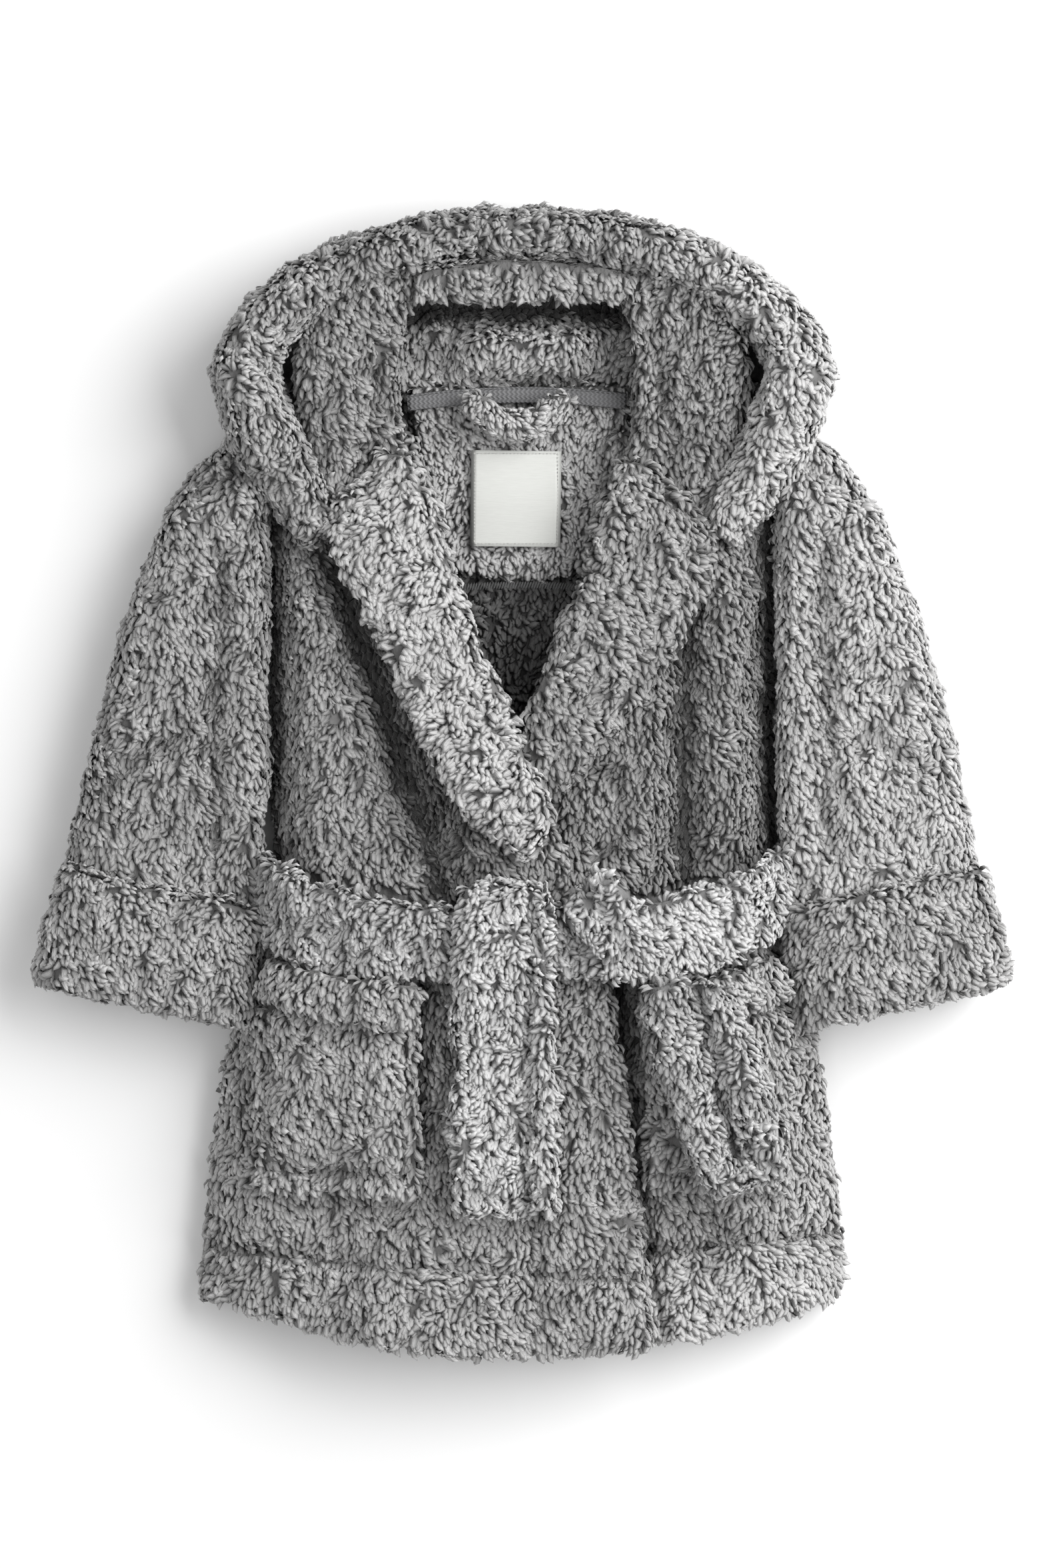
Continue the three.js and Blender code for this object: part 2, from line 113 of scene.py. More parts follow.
class Body(Enum):
    """The rigid bodies that the pieces ride on."""

    ROBE = "robe"
    HOOD = "hood"
    LEFT_SLEEVE = "left_sleeve"
    RIGHT_SLEEVE = "right_sleeve"
    LEFT_TAIL = "left_belt_tail"
    RIGHT_TAIL = "right_belt_tail"
    LOOP = "hanging_loop"


# ---- Node trees ----


class Wire:
    """A socket of a node tree, with arithmetic that adds Math nodes."""

    def __init__(self, tree: "Tree", socket: bpy.types.NodeSocket) -> None:
        """Wraps a socket of a tree."""
        self.tree = tree
        self.socket = socket

    def _math(self, operation: str, first: object, second: object) -> "Wire":
        """A Math node on two values or wires."""
        return self.tree.node("ShaderNodeMath", {"operation": operation}, {0: first, 1: second})[0]

    def __add__(self, other: object) -> "Wire":
        """self + other."""
        return self._math("ADD", self, other)

    def __sub__(self, other: object) -> "Wire":
        """self - other."""
        return self._math("SUBTRACT", self, other)

    def __rsub__(self, other: object) -> "Wire":
        """other - self."""
        return self._math("SUBTRACT", other, self)

    def __mul__(self, other: object) -> "Wire":
        """self * other."""
        return self._math("MULTIPLY", self, other)

    def wave(self) -> "Wire":
        """The sine of self."""
        return self._math("SINE", self, 0.0)

    def size(self) -> "Wire":
        """Self without its sign."""
        return self._math("ABSOLUTE", self, 0.0)

    def fold(self, period: float) -> "Wire":
        """Self folded back and forth between 0 and period."""
        return self._math("PINGPONG", self, period)

    __radd__ = __add__
    __rmul__ = __mul__


class Tree:
    """A node tree that is built by one method."""

    def __init__(self, tree: bpy.types.NodeTree) -> None:
        """Wraps a node tree."""
        self.tree = tree

    def node(self, kind: str, settings: dict[str, object] | None = None,
             inputs: dict[object, object] | None = None) -> list[Wire]:
        """Adds one node.

        Args:
            kind: the node's type.
            settings: its properties, set first.
            inputs: values or wires by socket name or number.

        Returns:
            A wire for each output that is in use.
        """
        made = self.tree.nodes.new(kind)
        for name, value in (settings or {}).items():
            setattr(made, name, value)
        for key, value in (inputs or {}).items():
            if isinstance(key, int):
                socket = made.inputs[key]
            else:
                socket = next(s for s in made.inputs if s.name == key and s.enabled)
            if isinstance(value, Wire):
                self.tree.links.new(value.socket, socket)
            else:
                socket.default_value = value
        return [Wire(self, s) for s in made.outputs if s.enabled]

    def vector(self, operation: str, first: object, second: object) -> Wire:
        """A Vector Math node on two vectors."""
        return self.node("ShaderNodeVectorMath", {"operation": operation},
                         {0: first, 1: second})[0]


# ---- Finishes ----


class Surface(Tree):
    """A material under construction."""

    def __init__(self, name: str, constants: dict[str, object]) -> None:
        """Starts a material whose shader has the constants on its own sockets.

        Args:
            name: the material's name.
            constants: values by socket name.
        """
        self.material = bpy.data.materials.new(name)
        self.material.use_nodes = True
        super().__init__(self.material.node_tree)
        self.shader = self.tree.nodes["Principled BSDF"]
        for socket, value in constants.items():
            self.shader.inputs[socket].default_value = value

    def feed(self, socket: str, wire: Wire) -> None:
        """Links a wire to one of the shader's sockets."""
        self.tree.links.new(wire.socket, self.shader.inputs[socket])

    def attribute(self, name: str) -> Wire:
        """The number that a mesh attribute holds.

        Args:
            name: the attribute's name.

        Returns:
            Its wire.
        """
        made = self.tree.nodes.new("ShaderNodeAttribute")
        made.attribute_name = name
        return Wire(self, made.outputs["Fac"])

    def grain(self, scale: float, detail: float = 2.0, stretch: Point = (1, 1, 1)) -> Wire:
        """Noise on the object's own coordinates.

        Args:
            scale: how fine it is.
            detail: its octaves.
            stretch: its scale along each axis.

        Returns:
            The noise, from 0 to 1.
        """
        where = self.node("ShaderNodeTexCoord")
        spot = Wire(self, where[0].socket.node.outputs["Object"])
        spot = self.node("ShaderNodeMapping", {}, {"Vector": spot, "Scale": stretch})[0]
        made = self.node("ShaderNodeTexNoise", {},
                         {"Vector": spot, "Scale": scale, "Detail": detail})
        return made[0]

    def blend(self, share: Wire, low: Sequence[float], high: Sequence[float]) -> Wire:
        """A colour between two colours.

        Args:
            share: 0 for the low colour and 1 for the high one.
            low: the first colour.
            high: the second colour.

        Returns:
            The colour.
        """
        ramp = self.tree.nodes.new("ShaderNodeValToRGB")
        ramp.color_ramp.elements[0].color = (*low, 1)
        ramp.color_ramp.elements[1].color = (*high, 1)
        self.tree.links.new(share.socket, ramp.inputs[0])
        return Wire(self, ramp.outputs[0])

    def bump(self, height: Wire, strength: float, distance: float) -> None:
        """Feeds the shader's normal from a height.

        Args:
            height: the height.
            strength: how much it counts.
            distance: its depth in metres.
        """
        made = self.node("ShaderNodeBump", {}, {"Height": height, "Strength": strength,
                                                "Distance": distance})
        self.feed("Normal", made[0])


@dataclass(frozen=True)
class Fleece:
    """A long-pile fleece: painted dark between the locks, as painted shade, and light at their
    tips.
    """

    name: str
    root: tuple[float, float, float]
    tip: tuple[float, float, float]
    sheen: float = 0.25

    def locks(self) -> bpy.types.Material:
        """The locks' material: it lightens from root to tip and from sides to crown, as painted
        shade, and varies from lock to lock.

        Returns:
            The material.
        """
        made = Surface(self.name, {"Roughness": 0.9, "Specular IOR Level": 0.15,
                                   "Sheen Weight": self.sheen, "Sheen Roughness": 0.55})
        # painted shade: along and crown darken each lock towards its root and along its sides
        along = made.attribute("along")
        tone = made.attribute("tone")
        crown = 1 - made.attribute("across").size()
        strand = (made.attribute("across") * 17.0 + tone * 9.0).wave() * 0.5 + 0.5
        patch = made.grain(38.0, 2.0)
        share = along * 0.62 + crown * 0.34 + tone * 0.24 + strand * 0.1 + patch * 0.3 - 0.42
        made.feed("Base Color", made.blend(share, self.root, self.tip))
        made.bump(strand, 0.4, 0.0005)
        return made.material

    def ground(self) -> bpy.types.Material:
        """The knitted ground and the base of the pile, seen between the locks, painted dark as
        painted shade.

        Returns:
            The material.
        """
        made = Surface(self.name + "_ground", {"Roughness": 1.0, "Specular IOR Level": 0.1})
        tuft = made.grain(160.0, 4.0, (1.0, 0.6, 1.0))
        # painted shade: the ground between the locks is darker than the locks' roots
        dark = tuple(0.75 * c for c in self.root)
        middle = tuple(0.45 * a + 0.4 * b for a, b in zip(self.root, self.tip, strict=True))
        made.feed("Base Color", made.blend(tuft, dark, middle))
        made.bump(tuft, 0.9, 0.004)
        return made.material


@dataclass(frozen=True)
class Twill:
    """Woven herringbone tape."""

    name: str
    light: tuple[float, float, float]
    dark: tuple[float, float, float]
    rib: float = 2600.0

    def material(self) -> bpy.types.Material:
        """Slanted ribs that turn back along the tape's middle.

        Returns:
            The material.
        """
        made = Surface(self.name, {"Roughness": 0.85, "Specular IOR Level": 0.2})
        spot = made.node("ShaderNodeTexCoord")[0].socket.node.outputs["Object"]
        parts = made.node("ShaderNodeSeparateXYZ", {}, {"Vector": Wire(made, spot)})
        slant = parts[0] * self.rib + (parts[1] * self.rib).fold(3.2)
        ribs = slant.wave() * 0.5 + 0.5
        made.feed("Base Color", made.blend(ribs, self.dark, self.light))
        made.bump(ribs, 0.8, 0.0004)
        return made.material


@dataclass(frozen=True)
class Satin:
    """Smooth woven label satin with fine cross threads."""

    name: str
    light: tuple[float, float, float]
    dark: tuple[float, float, float]

    def material(self) -> bpy.types.Material:
        """Fine threads across the label, slightly uneven.

        Returns:
            The material.
        """
        made = Surface(self.name, {"Roughness": 0.55, "Specular IOR Level": 0.35,
                                   "Sheen Weight": 0.15})
        threads = made.grain(700.0, 2.0, (0.25, 3.0, 1.0))
        made.feed("Base Color", made.blend(threads, self.dark, self.light))
        made.bump(threads, 0.25, 0.0003)
        return made.material


BODY_FLEECE = Fleece("fleece_locks", (0.055, 0.054, 0.053), (0.60, 0.596, 0.593))
# the fleece of the robe's inside: the body's grey painted much darker, as painted shade
SHADED_FLEECE = Fleece("inner_fleece_locks", (0.022, 0.021, 0.021), (0.27, 0.268, 0.265))
# the belt's fleece: the body's grey painted lighter, as painted light on the raised belt
LIT_BELT_FLEECE = Fleece("belt_fleece_locks", (0.07, 0.069, 0.069), (0.74, 0.738, 0.737), 0.35)
THREAD = Fleece("sewing_thread", (0.10, 0.10, 0.10), (0.20, 0.20, 0.20), 0.0)
LABEL_THREAD = Fleece("label_thread", (0.60, 0.60, 0.58), (0.85, 0.85, 0.82), 0.0)
TAPE = Twill("herringbone_tape", (0.225, 0.225, 0.23), (0.15, 0.15, 0.153))
LABEL = Satin("label_satin", (0.66, 0.668, 0.64), (0.58, 0.587, 0.563))


class Wardrobe:
    """Materials, each made once."""

    def __init__(self) -> None:
        """Starts with none."""
        self._made: dict[str, bpy.types.Material] = {}

    def get(self, key: str, make: Callable[[], bpy.types.Material]) -> bpy.types.Material:
        """The material of that name, made the first time.

        Args:
            key: the material's name.
            make: what makes it.

        Returns:
            The material.
        """
        if key not in self._made:
            self._made[key] = make()
        return self._made[key]


WARDROBE = Wardrobe()

# ---- Meshes ----


def add_object(name: str, mesh: bpy.types.Mesh) -> bpy.types.Object:
    """An object at the origin that holds a mesh.

    Args:
        name: the object's name.
        mesh: its mesh.

    Returns:
        The object, in the scene.
    """
    made = bpy.data.objects.new(name, mesh)
    bpy.context.scene.collection.objects.link(made)
    return made


def mesh_of(name: str, points: Iterable[Vector], faces: Iterable[Sequence[int]]) -> bpy.types.Mesh:
    """A mesh with its faces turned outwards.

    Args:
        name: the mesh's name.
        points: its corners, in metres.
        faces: the corners of each face.

    Returns:
        The mesh, shaded smooth.
    """
    mesh = bpy.data.meshes.new(name)
    mesh.from_pydata([tuple(p) for p in points], [], [tuple(f) for f in faces])
    work = bmesh.new()
    work.from_mesh(mesh)
    bmesh.ops.recalc_face_normals(work, faces=work.faces)
    work.to_mesh(mesh)
    work.free()
    mesh.polygons.foreach_set("use_smooth", [True] * len(mesh.polygons))
    return mesh


def settled(piece: bpy.types.Object) -> bpy.types.Object:
    """The piece with its modifiers made real.

    Args:
        piece: the piece.

    Returns:
        The same piece, with a plain mesh.
    """
    bpy.context.view_layer.update()
    graph = bpy.context.evaluated_depsgraph_get()
    old = piece.data
    mesh = bpy.data.meshes.new_from_object(piece.evaluated_get(graph))
    piece.modifiers.clear()
    piece.data = mesh
    mesh.name = piece.name
    bpy.data.meshes.remove(old)
    return piece


def soften(piece: bpy.types.Object, voxel: float, rounds: int) -> bpy.types.Object:
    """Remeshes a piece evenly and rounds its edges.

    Args:
        piece: the piece.
        voxel: the new faces' size, in millimetres.
        rounds: how often it is smoothed.

    Returns:
        The same piece.
    """
    remesh = piece.modifiers.new("even", "REMESH")
    remesh.mode = "VOXEL"
    remesh.voxel_size = voxel * MM
    remesh.use_smooth_shade = True
    ease = piece.modifiers.new("ease", "SMOOTH")
    ease.factor = 0.5
    ease.iterations = rounds
    return settled(piece)


def copy_nodes(name: str, nodes: Sequence[str]) -> bpy.types.Object:
    """One piece from merged copies of CAD nodes.

    Args:
        name: the piece's name.
        nodes: the nodes.

    Returns:
        The piece.
    """
    work = bmesh.new()
    for node in nodes:
        part = frame["nodes"][node].data.copy()
        work.from_mesh(part)
        bpy.data.meshes.remove(part)
    bmesh.ops.remove_doubles(work, verts=work.verts, dist=WELD)
    mesh = bpy.data.meshes.new(name)
    work.to_mesh(mesh)
    work.free()
    return add_object(name, mesh)


@dataclass(frozen=True)
class Slice:
    """A softened box in section: its middle, the direction across and its half sizes."""

    x: float
    y: float
    z: float
    half_width: float
    half_height: float
    angle: float = 0.0

    def points(self, sides: int, power: float) -> list[Vector]:
        """The section's points.

        Args:
            sides: how many there are.
            power: how square the section is: 2 is an ellipse.

        Returns:
            The points in order, in the frame.
        """
        way = Vector((math.cos(self.angle), math.sin(self.angle)))
        found = []
        for i in range(sides):
            turn = (i + 0.5) / sides * math.tau
            c, s = math.cos(turn), math.sin(turn)
            across = self.half_width * math.copysign(abs(c) ** (2 / power), c)
            up = self.half_height * math.copysign(abs(s) ** (2 / power), s)
            found.append(place(self.x + way.x * across, self.y + way.y * across, self.z + up))
        return found


def loft(name: str, slices: Sequence[Slice], sides: int, power: float) -> bpy.types.Object:
    """A solid body through slices, closed at both ends.

    Args:
        name: the piece's name.
        slices: its sections in order.
        sides: points in each.
        power: how square they are.

    Returns:
        The piece.
    """
    rings = [s.points(sides, power) for s in slices]
    points = [p for ring in rings for p in ring]
    faces: list[Sequence[int]] = []
    for j in range(len(rings) - 1):
        for i in range(sides):
            k = (i + 1) % sides
            faces.append((j * sides + i, j * sides + k, (j + 1) * sides + k, (j + 1) * sides + i))
    last = (len(rings) - 1) * sides
    faces.append(list(range(sides)))
    faces.append([last + i for i in range(sides)])
    return add_object(name, mesh_of(name, points, faces))


@dataclass(frozen=True)
class Fold:
    """A long crease or ridge over a piece: it runs between two plan points.

    A negative depth is a crease and a positive one a ridge.
    """

    # painted shade: how dark the pile in a crease is painted
    DARKEST: ClassVar[float] = -2.2
    DARKENING: ClassVar[float] = 0.31
    NARROWING: ClassVar[float] = 3.5

    start: tuple[float, float]
    end: tuple[float, float]
    depth: float
    width: float

    def _away(self, x: float, y: float) -> float:
        """The squared distance from the fold's line, in widths.

        Args:
            x: across, from the centre line.
            y: up, from the hem.

        Returns:
            The distance.
        """
        ax, ay = self.start
        dx, dy = self.end[0] - ax, self.end[1] - ay
        length2 = dx * dx + dy * dy
        t = ((x - ax) * dx + (y - ay) * dy) / length2
        near = min(1.0, max(0.0, t))
        gone2 = (x - ax - dx * near) ** 2 + (y - ay - dy * near) ** 2
        return gone2 / self.width**2

    def lift(self, x: float, y: float) -> float:
        """How far the fold lifts the cloth at a plan point, in millimetres."""
        return self.depth * math.exp(-self._away(x, y))

    def shade(self, x: float, y: float) -> float:
        """How much darker the pile is painted in a crease, as painted shade.

        Args:
            x: across, from the centre line.
            y: up, from the hem.

        Returns:
            The painted shade, 0 or less.
        """
        if self.depth >= 0:
            return 0.0
        darkest = max(self.DARKEST, self.DARKENING * self.depth)
        return darkest * math.exp(-self.NARROWING * self._away(x, y))


HEM_HALF = 168.0
HEM_UP = 6.0  # the hem's edge lifts, since its pile hangs past it
HEM_CURVE = 13.0  # the hem climbs this much more at the side seams than the frame's does
UPPER_SIDE = (2.0, 10.0)  # heights between which a skin goes from its under to its upper side
TABLE_SIDE = (1.0, 3.5)  # heights between which it leaves the table
LOWEST = 1.2
HEM_UP_REACH = 45.0
HEM_CURVE_REACH = 90.0
LUMP_STRETCH = 1.6
FINE_LUMPS = (0.45, 2.7)  # the finer unevenness: its height and how much closer it lies


def shape(piece: bpy.types.Object, folds: Sequence[Fold] = (), lump: float = 1.6,
          size: float = 24.0, inset: float = 2.6, rise: float = 0.0,
          cover: Callable[[float, float, float], float] | None = None,
          tint: Callable[[float, float], float] = lambda x, y: 0.0,
          under: float = 0.0) -> None:
    """Gives a skin its folds and an uneven, puffy surface.

    Args:
        piece: the skin.
        folds: its creases and ridges.
        lump: height of the unevenness, in millimetres.
        size: its spacing, in millimetres.
        inset: how far the skin draws in, which leaves room for its pile.
        rise: how far its upper side lifts.
        cover: the share of locks that grow at a point, or None for all of them.
        tint: painted light and shade, how much lighter the pile is painted at a plan point.
        under: painted light, how much lighter still the pile is painted on the side that lies on
            the table.
    """
    mesh = piece.data
    normals = [v.normal.copy() for v in mesh.vertices]
    shares, painted_light_values = [], []
    fine, closer = FINE_LUMPS
    for vertex, normal in zip(mesh.vertices, normals, strict=True):
        x, y, z = vertex.co.x / MM, (vertex.co.y - HEM_Y) / MM, vertex.co.z / MM
        spot = Vector((x / size, y / (size * LUMP_STRETCH), z / size))
        rough = lump * noise.noise(spot) + fine * lump * noise.noise(spot * closer)
        keep = smooth(z, *UPPER_SIDE)
        vertex.co += normal * ((rough * (0.3 + 0.7 * keep) - inset) * MM)
        vertex.co.z += keep * MM * (rise + sum(f.lift(x, y) for f in folds))
        vertex.co.z = max(vertex.co.z, LOWEST * MM)
        vertex.co.y += HEM_UP * MM * (1 - smooth(y, 0.0, HEM_UP_REACH))
        climb = HEM_CURVE * MM * (x / HEM_HALF) ** 2
        vertex.co.y += climb * (1 - smooth(y, 0.0, HEM_CURVE_REACH))
        shares.append(cover(x, y, z) if cover else 1.0)
        laid_on = 1 - smooth(z, *TABLE_SIDE)
        # painted light and shade: the piece's painted light, painted shade in its creases and a
        # lighter table side
        painted_light_values.append(tint(x, y) + sum(f.shade(x, y) for f in folds) + under * laid_on)
    mesh.attributes.new("cover", "FLOAT", "POINT").data.foreach_set("value", shares)
    mesh.attributes.new("tint", "FLOAT", "POINT").data.foreach_set("value", painted_light_values)
    mesh.update()


# ---- The coat of locks ----

FIRST_SEED = 11
SEED_STEP = 7


@dataclass(frozen=True)
class Coat:
    """How a piece's pile lies.

    Attributes:
        finish: its colours.
        density: locks to a square millimetre.
        length: the locks' size, over the usual one.
        swirl: how far they turn aside from the comb.
        comb: the way they lie.
        below: the share that grows on the skin's underside.
        lift: how far whole tufts stand up.
    """

    finish: Fleece = BODY_FLEECE
    density: float = 0.215
    length: float = 1.0
    swirl: float = 0.62
    comb: Point = (0.0, -1.0, -0.1)
    below: float = 0.1
    lift: float = 0.2


class LockMaker:
    """Makes the few lock shapes that every coat repeats."""

    VARIANTS = 8
    LENGTH = 7.8
    RINGS = ((0.0, 1.0), (0.36, 1.75), (0.74, 1.35), (1.0, 0.0))  # share along, half width
    FIRST = 40

    def __init__(self) -> None:
        """Builds the locks in a collection that isn't shown."""
        self.collection = bpy.data.collections.new("locks")
        for i in range(self.VARIANTS):
            self.collection.objects.link(self._lock(i))

    def _lock(self, number: int) -> bpy.types.Object:
        """One curved, tapering, three-sided lock, rooted at the origin and leaning along +X.

        Args:
            number: which of the shapes, and its seed.

        Returns:
            The lock.
        """
        draw = random.Random(self.FIRST + number)
        wave = draw.uniform(0.5, 1.5) * draw.choice((-1, 1))
        rise = draw.uniform(1.0, 1.9)
        curl = draw.uniform(0.3, 1.3)
        broad = draw.uniform(0.85, 1.2)
        points, share, side = [], [], []
        for at, half in self.RINGS:
            half *= broad
            x = self.LENGTH * at * (1 - 0.16 * at * curl)
            y = wave * math.sin(math.pi * 1.2 * at)
            z = rise * math.sin(math.pi * 0.85 * at) - 0.9 * (1 - at) ** 3 - 0.3 * curl * at**3
            sides = ((-half, 0.0, -1.0), (half, 0.0, 1.0), (0.0, 0.7 * half, 0.0))
            if not half:
                sides = ((0.0, 0.0, 0.0),)
            points += [Vector((x, y + a, z + b)) * MM for a, b, _ in sides]
            share += [at] * len(sides)
            side += [c for _, _, c in sides]
        faces = [(2, 1, 0)]
        for ring in range(2):
            for i in range(3):
                a, b = ring * 3 + i, ring * 3 + (i + 1) % 3
                faces.append((a, b, b + 3, a + 3))
        faces += [(6 + i, 6 + (i + 1) % 3, 9) for i in range(3)]
        mesh = mesh_of(f"lock_{number}", points, faces)
        mesh.attributes.new("across", "FLOAT", "POINT").data.foreach_set("value", side)
        mesh.attributes.new("along", "FLOAT", "POINT").data.foreach_set("value", share)
        return bpy.data.objects.new(mesh.name, mesh)


class PileTree(Tree):
    """Geometry Nodes that grow a coat of locks on a skin."""

    TUFTS = 125.0  # how fine the tufts are that locks gather in
    TUFT_STRETCH = (1.0, 0.62, 1.0)
    WAVES = 34.0
    TURN = 5.0
    SWAY = 0.35
    HEAVE = (-0.25, 0.15)
    HEAVE_GAIN = 4.0
    GROWTH = (0.7, 1.25)
    TONE_MIDDLE = 0.42
    TONE_BY_LOCK = 0.4
    TONE_BY_TUFT = 2.4
    INPUTS = (("Density", "NodeSocketFloat"), ("Length", "NodeSocketFloat"),
              ("Swirl", "NodeSocketFloat"), ("Lift", "NodeSocketFloat"),
              ("Below", "NodeSocketFloat"), ("Comb", "NodeSocketVector"),
              ("Seed", "NodeSocketInt"), ("Material", "NodeSocketMaterial"))

    def __init__(self, locks: bpy.types.Collection) -> None:
        """Builds the tree.

        Args:
            locks: the lock shapes to choose from.
        """
        super().__init__(bpy.data.node_groups.new("Pile", "GeometryNodeTree"))
        ports = self.tree.interface
        ports.new_socket(name="Skin", in_out="INPUT", socket_type="NodeSocketGeometry")
        self.keys = {name: ports.new_socket(name=name, in_out="INPUT", socket_type=kind).identifier
                     for name, kind in self.INPUTS}
        ports.new_socket(name="Pile", in_out="OUTPUT", socket_type="NodeSocketGeometry")
        group = self.node("NodeGroupInput")
        given = {w.socket.name: w for w in group}
        seed = given["Seed"]
        spot = self.node("GeometryNodeInputPosition")[0]
        normal = self.node("GeometryNodeInputNormal")[0]
        up = self.node("ShaderNodeSeparateXYZ", {}, {"Vector": normal})[2]
        facing = self.node("ShaderNodeMapRange", {"clamp": True},
                           {"Value": up, "From Min": -0.5, "From Max": -0.05,
                            "To Min": given["Below"], "To Max": 1.0})[0]
        cover = self.node("GeometryNodeInputNamedAttribute", {"data_type": "FLOAT"},
                          {"Name": "cover"})[0]
        facing = facing * cover
        spread = self.node("GeometryNodeDistributePointsOnFaces", {"distribute_method": "RANDOM"},
                           {"Mesh": given["Skin"], "Density": given["Density"] * facing,
                            "Seed": seed})
        drawn = self.vector("MULTIPLY", spot, self.TUFT_STRETCH)
        tufts = self.node("ShaderNodeTexNoise", {},
                          {"Vector": drawn, "Scale": self.TUFTS, "Detail": 1.0})
        waves = self.node("ShaderNodeTexNoise", {},
                          {"Vector": spot, "Scale": self.WAVES, "Detail": 1.0})
        turn = self.vector("SUBTRACT", tufts[1], (0.5, 0.5, 0.5))
        turn = self.vector("ADD", turn, self.vector("SUBTRACT", waves[1], (0.5, 0.5, 0.5)))
        strength = given["Swirl"] * self.TURN
        turn = self.node("ShaderNodeVectorMath", {"operation": "SCALE"},
                         {0: turn, "Scale": strength})[0]
        comb = self.vector("ADD", given["Comb"], turn)
        align = "FunctionNodeAlignRotationToVector"
        stand = self.node(align, {"axis": "Z"}, {"Vector": spread[1]})[0]
        lie = self.node(align, {"axis": "X", "pivot_axis": "Z"},
                        {"Rotation": stand, "Vector": comb})[0]
        sway = self.node("FunctionNodeRandomValue", {"data_type": "FLOAT"},
                         {"Min": -self.SWAY, "Max": self.SWAY, "Seed": seed + 1.0})[0]
        spin = "FunctionNodeAxisAngleToRotation"
        roll = self.node(spin, {}, {"Axis": (0, 0, 1), "Angle": sway})[0]
        heave = self.node("FunctionNodeRandomValue", {"data_type": "FLOAT"},
                          {"Min": self.HEAVE[0], "Max": self.HEAVE[1], "Seed": seed + 2.0})[0]
        heave = heave - (tufts[0] - 0.35) * given["Lift"] * self.HEAVE_GAIN
        pitch = self.node(spin, {}, {"Axis": (0, 1, 0), "Angle": heave})[0]
        turned = lie
        for step in (roll, pitch):
            turned = self.node("FunctionNodeRotateRotation", {"rotation_space": "LOCAL"},
                               {"Rotation": turned, "Rotate By": step})[0]
        grow = self.node("FunctionNodeRandomValue", {"data_type": "FLOAT"},
                         {"Min": self.GROWTH[0], "Max": self.GROWTH[1], "Seed": seed + 3.0})[0]
        grow = grow * given["Length"]
        kinds = self.node("GeometryNodeCollectionInfo", {},
                          {"Collection": locks, "Separate Children": True, "Reset Children": True})
        planted = self.node("GeometryNodeInstanceOnPoints", {},
                            {"Points": spread[0], "Instance": kinds[0], "Pick Instance": True,
                             "Rotation": turned, "Scale": grow})[0]
        tone = self.node("FunctionNodeRandomValue", {"data_type": "FLOAT"},
                         {"Seed": seed + 4.0})[0]
        # painted light and shade: each skin's painted light is added to the locks' random tone
        tint = self.node("GeometryNodeInputNamedAttribute", {"data_type": "FLOAT"},
                         {"Name": "tint"})[0]
        tone = tone * self.TONE_BY_LOCK + (tufts[0] - 0.5) * self.TONE_BY_TUFT
        tone = tone + self.TONE_MIDDLE + tint
        toned = self.node("GeometryNodeStoreNamedAttribute",
                          {"data_type": "FLOAT", "domain": "INSTANCE"},
                          {"Geometry": planted, "Name": "tone", "Value": tone})[0]
        real = self.node("GeometryNodeRealizeInstances", {}, {"Geometry": toned})[0]
        dressed = self.node("GeometryNodeSetMaterial", {},
                            {"Geometry": real, "Material": given["Material"]})[0]
        self.node("NodeGroupOutput", {}, {"Pile": dressed})


class Coats:
    """Grows coats on skins."""

    MOST_LOCKS = 11500
    QUICK_SHARE = 0.35

    def __init__(self) -> None:
        """Makes the lock shapes and the tree."""
        self.locks = LockMaker()
        self.tree = PileTree(self.locks.collection)
        self.grown = 0

    def grow(self, skin: bpy.types.Object, coat: Coat) -> list[bpy.types.Object]:
        """Grows a coat on a skin, split into layers where it is large.

        Args:
            skin: the skin, with no modifiers.
            coat: how the pile lies.

        Returns:
            The coat's pieces.
        """
        faces = skin.data.polygons
        cover = skin.data.attributes["cover"].data
        area = 1e6 * sum(f.area * (1 if f.normal.z > -0.3 else coat.below) *
                         cover[f.vertices[0]].value for f in faces)
        share = 1.0
        layers = max(1, math.ceil(area * coat.density * share / self.MOST_LOCKS))
        made = []
        for layer in range(layers):
            name = f"{skin.name}_pile_{layer + 1}"
            grown = add_object(name, skin.data.copy())
            grown.data.materials.clear()
            modifier = grown.modifiers.new("pile", "NODES")
            modifier.node_group = self.tree.tree
            values = {"Density": coat.density * 1e6 * share / layers, "Length": coat.length,
                      "Swirl": coat.swirl, "Lift": coat.lift, "Below": coat.below,
                      "Comb": coat.comb, "Seed": FIRST_SEED + SEED_STEP * (self.grown + layer),
                      "Material": WARDROBE.get(coat.finish.name, coat.finish.locks)}
            for key, value in values.items():
                modifier[self.tree.keys[key]] = value
            made.append(settled(grown))
        self.grown += layers
        return made


COATS = Coats()


